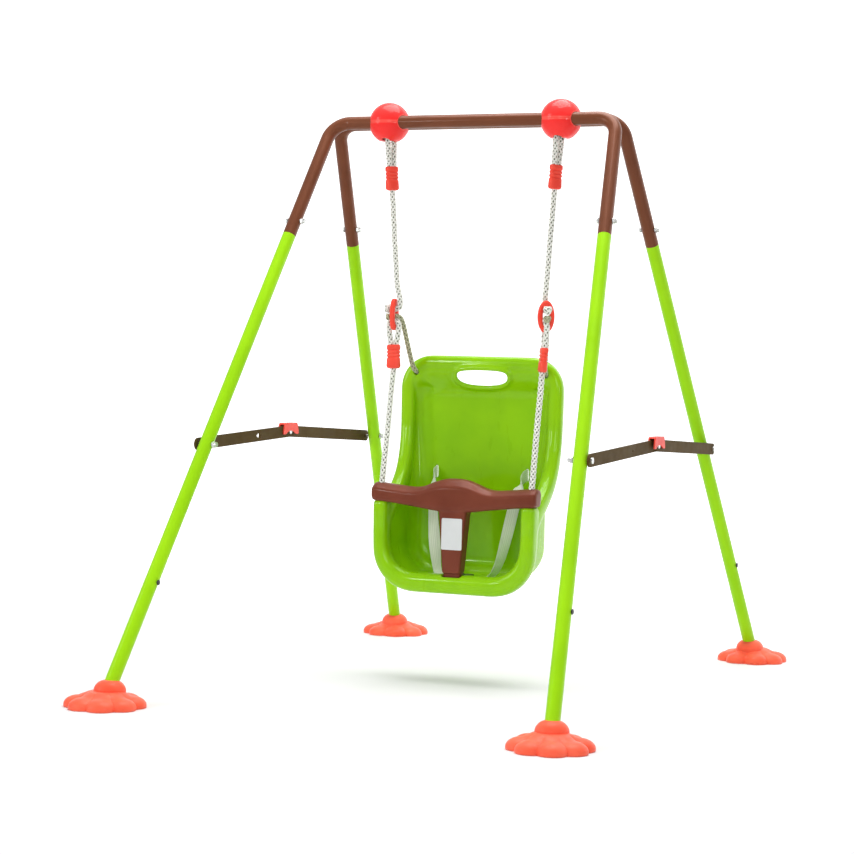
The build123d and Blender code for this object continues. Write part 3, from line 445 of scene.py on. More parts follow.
def place_piece(obj, slot, body, *nodes):
    """Material, slot, body and the CAD nodes that a new piece stands for."""
    if not obj.data.materials:
        dress(obj, slot)
    if nodes:
        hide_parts(*nodes)
    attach(obj, body)
    return obj


# ---------------------------------------------------------------- ropes

# Millimetres and degrees, as in the CAD: the routes below repeat its points
RING_X = 173.0
RING_TWIST = {-1: 5.0, 1: 57.0}
REAR_CLEAR = {-1: 15.5, 1: 21.0}
RING_THICK = 11.0
STRAND = 5.25
ROPE_R = 5.0
BRAID_R, REAR_BRAID_R = 6.8, 5.8
UPPER_CLAMP = (Vector((184.3, 0.0, 1042.0)), Vector((187.2, 0.0, 1093.0)))
LOWER_CLAMP = (Vector((169.5, -5.0, 661.0)), Vector((171.7, -1.9, 712.0)))
BALL_X, PIN_Z, LOOP_R = 194.6, 1159.0, 10.3
MAIN_CROSS_Z, REAR_CROSS_Z, FRONT_CROSS_Z = 788.4, 775.0, 763.3
BACK_HOLE = (150.0, 654.0)
BAR_Y, ROPE_X, ARM_TOP = -52.0, 169.5, 379.5
# The two strands stand apart along these, turned a little from front to back
UPPER_WIDE = Vector((math.sin(math.radians(33.0)), math.cos(math.radians(33.0)), 0))
LOOP_WIDE = Vector((math.sin(math.radians(17.0)), math.cos(math.radians(17.0)), 0))


def ring_point(side, out, z, along=0.0):
    """Point by a ring: out is along its face normal, away from the seat's middle."""
    twist = math.radians(RING_TWIST[side])
    x = RING_X + out * math.cos(twist) + along * math.sin(twist)
    return Vector((side * x, -out * math.sin(twist) + along * math.cos(twist), z))


def ring_normal(side):
    """Unit vector along a ring's outward face normal."""
    return ring_point(side, 1, 0) - ring_point(side, 0, 0)


def on_clamp(line, side, z):
    """Point at height z on a clamp's axis."""
    low, high = line
    point = low + (high - low) * ((z - low.z) / (high.z - low.z))
    return Vector((side * point.x, point.y, z))


def rope_line(side, z, bow=0.0):
    """Point at height z on the front rope below its clamp."""
    top = LOWER_CLAMP[0]
    slope = (BAR_Y - top.y) / (403.0 - top.z)
    return Vector((side * (ROPE_X + bow), top.y + slope * (z - top.z), z))


def main_route(side):
    """From the clamped end over the hanger pin and down to the knot at the ring."""
    apart = UPPER_WIDE * STRAND
    ball = Vector((side * (BALL_X - 4.0), 0, 0))
    open_way = LOOP_WIDE * LOOP_R
    return [
        on_clamp(UPPER_CLAMP, side, 1076) + apart,
        on_clamp(UPPER_CLAMP, side, 1094) + apart,
        ball + open_way + Vector((0, 0, 1141)),
        ball + open_way + Vector((0, 0, PIN_Z + LOOP_R)),
        ball - open_way + Vector((0, 0, PIN_Z + LOOP_R)),
        ball - open_way + Vector((0, 0, 1141)),
        on_clamp(UPPER_CLAMP, side, 1094) - apart,
        on_clamp(UPPER_CLAMP, side, 1075) - apart,
        on_clamp(UPPER_CLAMP, side, 1058),
        on_clamp(UPPER_CLAMP, side, 1036),
        hanging(side, 1004, 0.8),
        hanging(side, 945, -0.9),
        hanging(side, 880, 1.0),
        ring_point(side, -5.0, 838),
        ring_point(side, -14.0, 808),
        ring_point(side, -12.0, MAIN_CROSS_Z - 2.2),
        ring_point(side, 9.0, MAIN_CROSS_Z + 1.6),
    ]


def hanging(side, z, bow):
    """Point at height z between the upper clamp and the ring, a little out of line."""
    top, foot = ring_point(side, -5.0, 838), UPPER_CLAMP[0].copy()
    foot.x *= side
    return top + (foot - top) * ((z - top.z) / (foot.z - top.z)) + Vector((0, bow, 0))


def front_route(side):
    """From the clamped end round the ring and down through the T-bar to the armrest."""
    apart = ring_normal(side) * STRAND
    grip = RING_THICK / 2 + ROPE_R + 0.5
    return [
        on_clamp(LOWER_CLAMP, side, 695) + apart,
        on_clamp(LOWER_CLAMP, side, 713) + apart,
        ring_point(side, grip, 741),
        ring_point(side, grip, FRONT_CROSS_Z),
        ring_point(side, -grip, FRONT_CROSS_Z),
        ring_point(side, -grip, 741),
        on_clamp(LOWER_CLAMP, side, 713) - apart,
        on_clamp(LOWER_CLAMP, side, 694) - apart,
        on_clamp(LOWER_CLAMP, side, 677),
        on_clamp(LOWER_CLAMP, side, 655),
        rope_line(side, 615, 0.5),
        rope_line(side, 540, -0.4),
        rope_line(side, 450, 0.4),
        rope_line(side, ARM_TOP - 19.0),
    ]


def rear_route(side):
    """From the knot at the ring to the knot behind the seat back."""
    x, z = BACK_HOLE
    aside = 16.0 * math.cos(math.radians(RING_TWIST[side]))
    leaving = ring_point(side, -REAR_CLEAR[side], REAR_CROSS_Z - 16, aside)
    hole = Vector((side * x, 63.0, z))
    return [
        ring_point(side, 9.0, REAR_CROSS_Z - 2.2),
        ring_point(side, -11.5, REAR_CROSS_Z + 1.2),
        leaving,
        leaving + (hole - leaving) * 0.25 - Vector((0, 0, 2.5)),
        leaving + (hole - leaving) * 0.62 - Vector((0, 0, 3.5)),
        hole,
        Vector((side * x, 100.3, z)),
    ]


def centreline(points, name):
    """Points along the smooth curve that the route steers."""
    curve = bpy.data.curves.new(name, "CURVE")
    curve.dimensions = "3D"
    curve.resolution_u = 24
    spline = curve.splines.new("NURBS")
    spline.points.add(len(points) - 1)
    for knot, point in zip(spline.points, points):
        knot.co = (*(point * MM), 1.0)
    spline.order_u = 3
    spline.use_endpoint_u = True
    obj = bpy.data.objects.new(name, curve)
    bpy.context.scene.collection.objects.link(obj)
    graph = bpy.context.evaluated_depsgraph_get()
    mesh = bpy.data.meshes.new_from_object(obj.evaluated_get(graph))
    line = [v.co.copy() for v in mesh.vertices]
    bpy.data.objects.remove(obj)
    return line


def resample(line, step):
    """Evenly spaced points along a line, with the distance of each."""
    lengths = [0.0]
    for a, b in zip(line, line[1:]):
        lengths.append(lengths[-1] + (b - a).length)
    count = max(2, round(lengths[-1] / step))
    result, index = [], 0
    for i in range(count + 1):
        want = lengths[-1] * i / count
        while index < len(line) - 2 and lengths[index + 1] < want:
            index += 1
        span = lengths[index + 1] - lengths[index]
        share = (want - lengths[index]) / span if span > 0 else 0.0
        result.append((line[index].lerp(line[index + 1], share), want))
    return result, lengths[-1]


def frames(line):
    """A steady pair of side vectors at each point of a line."""
    sides = []
    normal = None
    for i, point in enumerate(line):
        ahead = line[min(i + 1, len(line) - 1)] - line[max(i - 1, 0)]
        ahead.normalize()
        if normal is None:
            normal = ahead.orthogonal().normalized()
        normal = (normal - ahead * normal.dot(ahead)).normalized()
        sides.append((normal.copy(), ahead.cross(normal)))
    return sides


BRAID_PITCH, BRAID_STEP, STRANDS_EACH_WAY = 0.044, 0.0012, 4
# Shares of the rope's radius
CORE, MIDDLE, SWING, HALF_THICK, HALF_WIDE = 0.64, 0.70, 0.12, 0.18, 0.30


def braid(line, radius, name, colours):
    """Plaited rope: four strands each way, over and under, round a dark core that paints the shade in the
    gaps between strands.
    """
    samples, length = resample(line, BRAID_STEP)
    centres = [p for p, _ in samples]
    sides = frames(centres)
    points, faces, marks = [], [], []

    def tube(ring_at, segments, mark):
        base = len(points)
        for i in range(len(centres)):
            points.extend(ring_at(i))
        for i in range(len(centres) - 1):
            a, b = base + i * segments, base + (i + 1) * segments
            for j in range(segments):
                faces.append((a + j, a + (j + 1) % segments, b + (j + 1) % segments, b + j))
                marks.append(mark)
        faces.append(tuple(range(base + segments - 1, base - 1, -1)))
        top = base + (len(centres) - 1) * segments
        faces.append(tuple(range(top, top + segments)))
        marks.extend((mark, mark))

    def core_ring(i):
        u, v = sides[i]
        return [centres[i] + (u * math.cos(a) + v * math.sin(a)) * radius * CORE
                for a in (math.pi * k / 4 for k in range(8))]

    # The dark core shows between the strands as painted shade in the gaps.
    tube(core_ring, 8, 1)
    middle, swing = radius * MIDDLE, radius * SWING
    half_thick, half_wide = radius * HALF_THICK, radius * HALF_WIDE
    for way in (-1, 1):
        for strand in range(STRANDS_EACH_WAY):
            def strand_ring(i, way=way, strand=strand):
                s = samples[i][1]
                angle = way * 2 * math.pi * s / BRAID_PITCH + 2 * math.pi * strand / STRANDS_EACH_WAY
                wave = way * math.cos(2 * math.pi * s * STRANDS_EACH_WAY / BRAID_PITCH)
                u, v = sides[i]
                out = u * math.cos(angle) + v * math.sin(angle)
                round_way = v * math.cos(angle) - u * math.sin(angle)
                centre = centres[i] + out * (middle + swing * wave)
                return [centre + out * half_thick * math.sin(a) + round_way * half_wide * math.cos(a)
                        for a in (math.pi * k / 3 for k in range(6))]
            tube(strand_ring, 6, 0)
    obj = mesh_object(name, points, faces)
    for colour in colours:
        obj.data.materials.append(MATERIALS[colour])
    obj.data.polygons.foreach_set("material_index", marks)
    smooth(obj)
    return obj, centres, length


def knot(centre, axis, size, rope_radius, name, colours):
    """Overhand knot with its own braid, drawn tight about an axis."""
    turn = axis.to_track_quat("Z", "Y").to_matrix()
    line = []
    for i in range(96):
        t = 2 * math.pi * i / 96 * 0.985
        loop = Vector((math.sin(t) + 2 * math.sin(2 * t), math.cos(t) - 2 * math.cos(2 * t),
                       -1.25 * math.sin(3 * t)))
        line.append(centre + turn @ (loop * (size / 3.0)))
    obj, _, _ = braid(line, rope_radius, name, colours)
    return obj


def make_ropes():
    """All ropes and their knots."""
    for side, hand in SIDES.items():
        normal = ring_normal(side)
        # The rear ropes and their knots get the white rope painted darker olive: painted shade.
        dark = ("olive_rope", "rope_core_gap_shade")
        light = ("rope", "rope_core_gap_shade")
        hole = Vector((side * BACK_HOLE[0], 0, BACK_HOLE[1]))
        top, top_line, top_length = braid(centreline(main_route(side), f"main_line_{hand}"),
                                          BRAID_R * MM, f"main_braid_{hand}", light)
        front, front_line, front_length = braid(centreline(front_route(side), f"front_line_{hand}"),
                                                BRAID_R * MM, f"front_braid_{hand}", light)
        rear, rear_line, rear_length = braid(centreline(rear_route(side), f"rear_line_{hand}"),
                                             REAR_BRAID_R * MM, f"rear_braid_{hand}", dark)
        main_knot = knot((ring_point(side, 14.5, MAIN_CROSS_Z + 2.0)) * MM, normal, 0.0060, 0.0050,
                         f"main_knot_{hand}", light)
        rear_knot = knot((ring_point(side, 13.0, REAR_CROSS_Z - 2.6)) * MM, normal, 0.0049, 0.0042,
                         f"rear_knot_{hand}", dark)
        seat_knot = knot((hole + Vector((0, 107.5, 0))) * MM, Vector((0, 1, 0)), 0.0050, 0.0040,
                         f"seat_knot_{hand}", dark)
        place_piece(top, "rope", "hanger", f"main_rope_{hand}")
        place_piece(front, "rope", "seat", f"front_rope_{hand}")
        place_piece(rear, "olive_rope", "seat", f"rear_rope_{hand}")
        place_piece(main_knot, "rope", "hanger")
        place_piece(rear_knot, "olive_rope", "seat")
        place_piece(seat_knot, "olive_rope", "seat")


# ---------------------------------------------------------------- rope clamps

CLAMP_WIDER, CLAMP_THICKER = 1.07, 1.15


def make_clamps():
    """Ribbed clamps: collar, two ribs and a body rounded at the bottom."""
    # height from the bottom, half width and half thickness in millimetres: body, two ribs, collar
    profile = [(0.0, 8.0, 4.6), (0.6, 10.6, 5.8), (2.2, 13.0, 7.0), (5.0, 14.2, 7.6), (19.0, 13.6, 7.3)]
    profile += [(21.8, 13.3, 7.1), (22.6, 12.6, 6.6), (23.0, 12.3, 6.0), (25.6, 12.3, 6.0)]
    for bottom, half_wide in ((26.0, 13.6), (33.4, 13.5)):
        profile += [(bottom, 12.8, 6.7), (bottom + 1.0, half_wide, 7.2), (bottom + 3.2, half_wide, 7.2),
                    (bottom + 4.2, 12.8, 6.7), (bottom + 4.6, 12.3, 6.0)]
        profile.append((33.0 if bottom < 30 else 40.2, 12.3, 6.0))
    profile += [(40.6, 12.9, 6.8), (41.8, 13.8, 7.3), (48.4, 13.8, 7.3), (50.4, 13.0, 6.8),
                (51.0, 11.4, 5.8)]
    for side, hand in SIDES.items():
        for level, line, wide in (("upper", UPPER_CLAMP, UPPER_WIDE),
                                  ("lower", LOWER_CLAMP, ring_normal(side))):
            low, high = (Vector((side * p.x, p.y, p.z)) for p in line)
            axis = (high - low).normalized()
            wide = (wide - axis * wide.dot(axis)).normalized()
            thick = axis.cross(wide)
            rings = []
            for height, half_wide, half_thick in profile:
                section = superellipse(half_wide * CLAMP_WIDER, half_thick * CLAMP_THICKER, 2.9, 40)
                rings.append([(low + axis * height + wide * u + thick * v) * MM for u, v in section])
            clamp = loft(f"{level}_clamp_shell_{hand}", rings)
            bevelled(clamp, 0.0004)
            smooth(clamp, 40)
            place_piece(clamp, "red_plastic", "hanger" if level == "upper" else "seat",
                        f"{level}_clamp_{hand}")


def bevelled(obj, width, segments=2, angle=35):
    """Rounds sharp edges."""
    modifier = obj.modifiers.new("edges", "BEVEL")
    modifier.width = width
    modifier.segments = segments
    modifier.limit_method = "ANGLE"
    modifier.angle_limit = math.radians(angle)


# ---------------------------------------------------------------- seat

def rounded_loop(half_low, half_high, bottom, top, low_r, high_r, count):
    """Closed outline in x and z with its inward normals, wider at the bottom than at the top."""
    low_x, low_z, high_x, high_z = half_low - low_r, bottom + low_r, half_high - high_r, top - high_r
    corners = [((low_x, low_z), low_r, -90), ((high_x, high_z), high_r, 0),
               ((-high_x, high_z), high_r, 90), ((-low_x, low_z), low_r, 180)]
    loop = []
    for index, ((x, z), radius, start) in enumerate(corners):
        for i in range(count + 1):
            a = math.radians(start + 90.0 * i / count)
            loop.append((Vector((x + radius * math.cos(a), 0, z + radius * math.sin(a))),
                         Vector((-math.cos(a), 0, -math.sin(a)))))
        (nx, nz), nr, nstart = corners[(index + 1) % 4]
        a, b = math.radians(start + 90), math.radians(nstart)
        first = Vector((x + radius * math.cos(a), 0, z + radius * math.sin(a)))
        last = Vector((nx + nr * math.cos(b), 0, nz + nr * math.sin(b)))
        runs = 2 * count
        for i in range(1, runs):
            loop.append((first.lerp(last, i / runs), Vector((-math.cos(a), 0, -math.sin(a)))))
    return loop


def between(table, z):
    """Value on a broken line through (z, value) pairs."""
    if z <= table[0][0]:
        return table[0][1]
    for (z0, v0), (z1, v1) in zip(table, table[1:]):
        if z <= z1:
            share = (z - z0) / (z1 - z0)
            return v0 + (v1 - v0) * share
    return table[-1][1]


SEAT_VOXEL = 0.0021
TUB_WALL = 4.4
# Half widths at the bottom and top, height of bottom and top, and corner radii there
TUB = (158.0, 157.0, 216.5, 664.0, 74.0, 40.0)
RIM = (166.0, 170.5, 211.5, 676.0, 76.0, 54.0)
# Middle of the rolled rim: how far forward it stands at each height, and how its size changes
RIM_Y = [(300, -52), (335, -50), (352, -40), (366, -20), (385, 10), (403, 33), (428, 55), (455, 70),
         (490, 80), (530, 85)]
RIM_HALF_DEPTH = [(330, 20), (420, 18.5), (540, 15)]
# Rounding between the walls and the back panel at each height: its depth, and how far in it reaches
PANEL_Y = 97.5
CORNER_DEEP = [(420, 41.0), (540, 16.0), (600, 16.0), (655, 24.0)]
CORNER_REACH = [(420, 41.0), (540, 17.0), (600, 19.0), (655, 62.0)]


def panel_y(z):
    """How far back the middle of the back panel is at a height."""
    reach, deep = CORNER_REACH[-1][1], CORNER_DEEP[-1][1]
    share = max(0.0, min(1.0, (664.0 - z) / reach))
    return PANEL_Y - deep * (1 - share * share * (3 - 2 * share))


def make_seat():
    """Blow-moulded bucket: tub and back panel inside a rolled rim, remeshed into one skin."""
    parts = []
    # tub wall, from the rim to a rounded corner with the back
    loop = rounded_loop(*TUB, 10)
    rings = []
    steps = 10
    for point, inward in loop:
        z = point.z
        front = between(RIM_Y, z) if z > 300 else -52.0
        deep, reach = between(CORNER_DEEP, z), between(CORNER_REACH, z)
        wall = PANEL_Y - deep - front
        column = [point + Vector((0, front + wall * i / steps, 0)) for i in range(steps)]
        top = max(0.0, min(1.0, (z - 600.0) / 55.0))
        for i in range(steps + 1):
            t = i / steps
            round_in, round_back = 1 - math.cos(math.pi / 2 * t), math.sin(math.pi / 2 * t)
            inset = reach * (round_in + (t - round_in) * top)
            sink = deep * (round_back + (t * t * (3 - 2 * t) - round_back) * top)
            column.append(point + inward * inset + Vector((0, PANEL_Y - deep + sink, 0)))
        rings.append(column)
    count, length = len(rings), len(rings[0])
    points = [p * MM for column in rings for p in column]
    faces = [(i * length + j, i * length + j + 1, ((i + 1) % count) * length + j + 1,
              ((i + 1) % count) * length + j) for i in range(count) for j in range(length - 1)]
    faces.append([i * length + length - 1 for i in range(count)])
    sheet = mesh_object("tub_sheet", points, faces)
    recalc(sheet)
    solid = sheet.modifiers.new("thickness", "SOLIDIFY")
    solid.thickness = TUB_WALL * MM
    solid.offset = 0.0
    apply_modifiers(sheet)
    parts.append(sheet)
    # rolled rim
    path = []
    for point, inward in rounded_loop(*RIM, 14):
        y = between(RIM_Y, point.z)
        path.append((point + Vector((0, y, 0)), -inward))
    for _ in range(3):
        path = [((path[i - 1][0] + path[i][0] * 2 + path[(i + 1) % len(path)][0]) / 4,
                 (path[i - 1][1] + path[i][1] * 2 + path[(i + 1) % len(path)][1]).normalized())
                for i in range(len(path))]
    rings = []
    for i, (point, outward) in enumerate(path):
        ahead = (path[(i + 1) % len(path)][0] - path[i - 1][0]).normalized()
        outward = (outward - ahead * outward.dot(ahead)).normalized()
        deep = ahead.cross(outward)
        low = max(0.0, min(1.0, (300.0 - point.z) / 80.0))
        half_out = 16.0 + 5.0 * low
        half_deep = between(RIM_HALF_DEPTH, point.z)
        rings.append([(point + outward * u + deep * v) * MM
                      for u, v in superellipse(half_out, half_deep, 2.7, 36)])
    parts.append(loft("rim", rings, closed=True))
    # tops of the front columns, where the T-bar rests
    for side in SIDES:
        rings = []
        for z, shrink in ((290, 1.5), (360, 0.5), (372, 0.6), (379.0, 1.6), (380.8, 3.2)):
            rings.append([Vector((side * 167.2 + u, -51.0 + v, z)) * MM
                          for u, v in superellipse(16.5 - shrink, 20.0 - shrink, 3.6, 36)])
        parts.append(loft(f"column_{SIDES[side]}", rings))
    # rolled lip round the handle
    lip = []
    outline = handle_outline(62.5, 666.5, 625.0)
    count = len(outline)
    for i, (x, z) in enumerate(outline):
        before, after = outline[i - 1], outline[(i + 1) % count]
        ahead = Vector((after[0] - before[0], 0, after[1] - before[1])).normalized()
        out = Vector((ahead.z, 0, -ahead.x))
        lip.append([(Vector((x, panel_y(z) - 1.5, z)) + out * u + Vector((0, v, 0))) * MM
                    for u, v in superellipse(6.5, 4.2, 2.0, 16)])
    parts.append(loft("handle_lip", lip, closed=True))
    seat = join("seat_bucket", parts)
    remesh(seat, SEAT_VOXEL, 0)
    cut_seat(seat)
    remesh(seat, SEAT_VOXEL, 5)
    place_piece(seat, "seat_plastic", "seat", "seat_shell")


HANDLE_X = 3.0


def handle_outline(half, top, bottom):
    """Handle slot: nearly flat top with rounded corners, bowed bottom."""
    points = []
    for i in range(48):
        c, s = math.cos(2 * math.pi * i / 48), math.sin(2 * math.pi * i / 48)
        power = 3.6 if s > 0 else 2.3
        middle = top - (top - bottom) * 0.42
        reach = (top - middle) if s > 0 else (middle - bottom)
        points.append((HANDLE_X + half * swell(c, 2.6), middle + reach * swell(s, power)))
    return points


def box_outline(x, y, half_x, half_y):
    """Corners of a rectangle about its middle."""
    return [(x + a * half_x, y + b * half_y) for a, b in ((-1, -1), (1, -1), (1, 1), (-1, 1))]


def cut_seat(seat):
    """Handle slot, belt slots, rope holes and the socket of the T-post."""
    scaled = [(x * MM, z * MM) for x, z in handle_outline(58.0, 661.5, 629.5)]
    cutters = [prism("handle_cut", scaled, 0.05, 0.08)]
    for side in SIDES:
        belt = box_outline(side * 0.105, 0.440, 0.0027, 0.0135)
        cutters.append(prism("belt_cut", belt, 0.08, 0.04))
        hole = [(side * BACK_HOLE[0] * MM + 0.0055 * math.cos(a), BACK_HOLE[1] * MM + 0.0055 * math.sin(a))
                for a in (math.pi * k / 12 for k in range(24))]
        cutters.append(prism("rope_cut", hole, 0.05, 0.07))
    cutters.append(prism("post_cut", box_outline(0.0, -0.0495, 0.0212, 0.017), 0.2195, 0.030, up=True))
    for cutter in cutters:
        boolean(seat, cutter)


# ---------------------------------------------------------------- clips, feet, balls and T-bar

# Inner face of the brace bars, thickness of the two together, and height of the middle pin over the clip's
# lowest point in the CAD
BRACE_X, BRACE_STACK, PIN_UP = 416.0, 8.3, 13.0
CLIP_OUT, CLIP_WALL, CLIP_CEILING = 3.8, 3.0, 14.6


def pin_height(hand):
    """Height of a brace's middle pin."""
    return node_box(f"lock_clip_{hand}")[0].z / MM + PIN_UP


def make_clips():
    """Long saddle clips over the middle joints: two cheeks, a leg at each end, and a dimpled bridge."""
    for side, hand in SIDES.items():
        pin_z = pin_height(hand)
        outline = [(-37, -6.5), (-33.5, 10), (-29, 18.5), (29, 18.5), (33.5, 10), (37, -6.5), (25, -6.5),
                   (12, 0.0), (0, 1.5), (-12, 0.0), (-25, -6.5)]
        radii = [3.5, 10, 5, 5, 10, 3.5, 4, 7, 8, 7, 4]
        face = [(p.x, p.y + pin_z) for p in rounded_polygon(outline, radii, 5)]
        inner, outer = BRACE_X - CLIP_OUT, BRACE_X + BRACE_STACK + CLIP_OUT
        rings = [[Vector((side * x, y, z)) * MM for y, z in face] for x in (inner, outer)]
        clip = loft("clip_block", rings)
        pocket = box_outline(0.0, pin_z + (CLIP_CEILING - 30.0) / 2, 60.0, (CLIP_CEILING + 30.0) / 2)
        walls = (inner + CLIP_WALL, outer - CLIP_WALL)
        boolean(clip, loft("clip_core", [[Vector((side * x, y, z)) * MM for y, z in pocket] for x in walls]))
        middle = Vector((side * (inner + outer) / 2, 0, pin_z))
        boolean(clip, rod("dimple", middle + Vector((0, 0, 16.9)), middle + Vector((0, 0, 40)), 5.0, 32))
        remesh(clip, 0.0006, 3)
        clip.name = f"saddle_clip_{hand}"
        place_piece(clip, "red_plastic", f"clip_{hand}", f"lock_clip_{hand}")


# How far from the middle joint the hole is, the bar's rounded end, and how far the bar falls to its bolt
HOLE_AT, BAR_END_R, BAR_DROP = 147.0, 12.5, 18.0


def make_bar_hole():
    """Front bar of the left brace with its wider through hole."""
    bar = copy_node("brace_bar_front_left", "pierced_bar_left")
    reach = abs(node_box("brace_bar_front_left")[0].y / MM + BAR_END_R)
    middle = Vector((-BRACE_X, -HOLE_AT, pin_height("left") - BAR_DROP * HOLE_AT / reach))
    boolean(bar, rod("hole", middle - Vector((12, 0, 0)), middle + Vector((12, 0, 0)), 6.4, 32))
    bevelled(bar, 0.0005)
    place_piece(bar, "dark_brown_paint", "front_braces", "brace_bar_front_left")


def node_box(node):
    """Lowest and highest corner of a CAD node, in metres."""
    obj = frame["nodes"][node]
    points = [obj.matrix_world @ v.co for v in obj.data.vertices]
    return [Vector(tuple(pick(p[k] for p in points) for k in range(3))) for pick in (min, max)]


def node_centre(node):
    """Middle of a CAD node seen from above."""
    low, high = node_box(node)
    return Vector(((low.x + high.x) / 2, (low.y + high.y) / 2, 0.0))


PETALS, PETAL_AT, PETAL_R, PLATEAU = 8, 50.5, 29.5, 31.0
DOME_R, DOME_SPRING, DOME_RISE = 31.4, 29.0, 22.6


def polar(r, angle, z):
    """Point at a radius and angle."""
    return Vector((r * math.cos(angle), r * math.sin(angle), z))


def flower_height(r, turn):
    """Height of the disc in millimetres: pillow-shaped petals that run up into a raised middle."""
    if r > PETAL_AT:
        away = math.hypot(r * math.cos(turn) - PETAL_AT, r * math.sin(turn))
    else:
        away = PETAL_AT * math.sin(abs(turn)) * 1.015
    pillow = math.sqrt(max(0.0, 1.0 - (away / PETAL_R) ** 2))
    share = max(0.0, min(1.0, (r - 29.0) / 24.0))
    share = share * share * (3 - 2 * share)
    return 5.0 + 18.0 * (1.0 - share * (1.0 - pillow)) + (PLATEAU - 23.0) * (1.0 - share)


def make_feet():
    """Flower discs and the domes that hold the legs."""
    count = PETALS * 24
    levels = [1.0, 0.995, 0.98, 0.955, 0.92, 0.88, 0.83, 0.78]
    levels += [0.72 - 0.06 * i for i in range(7)] + [0.2]
    for end in ENDS.values():
        for hand in SIDES.values():
            centre = node_centre(f"{end}_foot_base_{hand}")
            rings = [[], []]
            edge = []
            for i in range(count):
                angle = 2 * math.pi * i / count
                turn = (angle % (2 * math.pi / PETALS)) - math.pi / PETALS
                off = PETAL_AT * math.sin(turn)
                reach = PETAL_AT * math.cos(turn) + math.sqrt(PETAL_R ** 2 - off ** 2)
                edge.append((angle, turn, reach))
                for level, inset, z in ((0, 1.6, 0.0), (1, 0.2, 1.4)):
                    rings[level].append(centre + polar(reach - inset, angle, z) * MM)
            for level in levels:
                rings.append([centre + polar(reach * level, angle, flower_height(reach * level, turn)) * MM
                              for angle, turn, reach in edge])
            disc = loft(f"{end}_flower_{hand}", rings)
            smooth(disc, 50)
            place_piece(disc, "salmon_plastic", f"{end}_frame", f"{end}_foot_base_{hand}")
            middle = node_centre(f"{end}_foot_dome_{hand}")
            profile = [(30.6, 20.0), (DOME_R, 27.0)]
            profile += [(DOME_R * math.cos(a) ** 0.75, DOME_SPRING + DOME_RISE * math.sin(a))
                        for a in (math.pi / 2 * k / 14 for k in range(14))]
            dome = lathe(f"{end}_dome_{hand}", middle, profile, 64)
            smooth(dome, 50)
            place_piece(dome, "salmon_plastic", f"{end}_frame", f"{end}_foot_dome_{hand}")


def lathe(name, centre, profile, count):
    """Closed turned solid from (radius, height) pairs in millimetres."""
    turns = [2 * math.pi * i / count for i in range(count)]
    return loft(name, [[centre + polar(r, a, z) * MM for a in turns] for r, z in profile])


def rod(name, start, end, radius, count=48):
    """Closed cylinder between two points in millimetres."""
    axis = (end - start).normalized()
    u = axis.orthogonal().normalized()
    v = axis.cross(u)
    return loft(name, [[(p + (u * math.cos(a) + v * math.sin(a)) * radius) * MM
                        for a in (2 * math.pi * i / count for i in range(count))] for p in (start, end)])


BALL_R, BALL_WALL, BEAM_Z, BEAM_Y, FLAT_Z = 43.5, 3.6, 1186.0, 14.5, 1147.0


def make_balls():
    """Hinge balls: one smooth hollow skin with its parting line, beam holes and rope slot."""
    for side, hand in SIDES.items():
        middle = Vector((side * BALL_X, 0, 0))
        low, high = math.asin((FLAT_Z - BEAM_Z) / BALL_R), math.radians(87.5)
        flat_r = BALL_R * math.cos(low)
        outer = [(6.0, FLAT_Z), (flat_r - 2.6, FLAT_Z), (flat_r - 0.9, FLAT_Z + 0.3)]
        steps = [low + 0.045 + (high - low - 0.045) * k / 46 for k in range(47)]
        outer += [(BALL_R * math.cos(t), BEAM_Z + BALL_R * math.sin(t)) for t in steps if t < -0.02]
        outer += [(BALL_R, BEAM_Z - 0.55), (BALL_R - 0.55, BEAM_Z - 0.15), (BALL_R - 0.55, BEAM_Z + 0.15),
                  (BALL_R, BEAM_Z + 0.55)]
        outer += [(BALL_R * math.cos(t), BEAM_Z + BALL_R * math.sin(t)) for t in steps if t > 0.02]
        ball = lathe(f"ball_{hand}", middle * MM, outer, 128)
        inner_r = BALL_R - BALL_WALL
        floor = math.asin((FLAT_Z + BALL_WALL - BEAM_Z) / inner_r)
        cavity = [(inner_r * math.cos(a), BEAM_Z + inner_r * math.sin(a))
                  for a in (floor + (math.pi / 2 - floor - 0.05) * k / 24 for k in range(25))]
        boolean(ball, lathe("cavity", middle * MM, cavity, 96))
        for way in (-1, 1):
            at = middle + Vector((0, way * BEAM_Y, BEAM_Z))
            boolean(ball, rod("beam_hole", at - Vector((70, 0, 0)), at + Vector((70, 0, 0)), 14.7, 64))
        slot = []
        for k in range(32):
            a = 2 * math.pi * k / 32
            y = 10.0 * math.sin(a) + (16.5 if math.sin(a) >= 0 else -16.5)
            slot.append(((middle.x + 10.0 * math.cos(a)) * MM, y * MM))
        boolean(ball, prism("slot", slot, 1.130, 0.032, up=True))
        bevelled(ball, 0.0008, 3, 50)
        smooth(ball, 35)
        place_piece(ball, "coral_plastic", "hinge_balls",
                    f"ball_upper_shell_{hand}", f"ball_lower_shell_{hand}")


def rounded_polygon(points, radii, steps=6):
    """Polygon with its corners rounded, always with the same count of points."""
    result = []
    for i, (point, radius) in enumerate(zip(points, radii)):
        here, before, after = Vector(point), Vector(points[i - 1]), Vector(points[(i + 1) % len(points)])
        start = here + (before - here).normalized() * min(radius, (before - here).length * 0.48)
        end = here + (after - here).normalized() * min(radius, (after - here).length * 0.48)
        for k in range(steps + 1):
            t = k / steps
            result.append(start * (1 - t) ** 2 + here * 2 * t * (1 - t) + end * t * t)
    return result


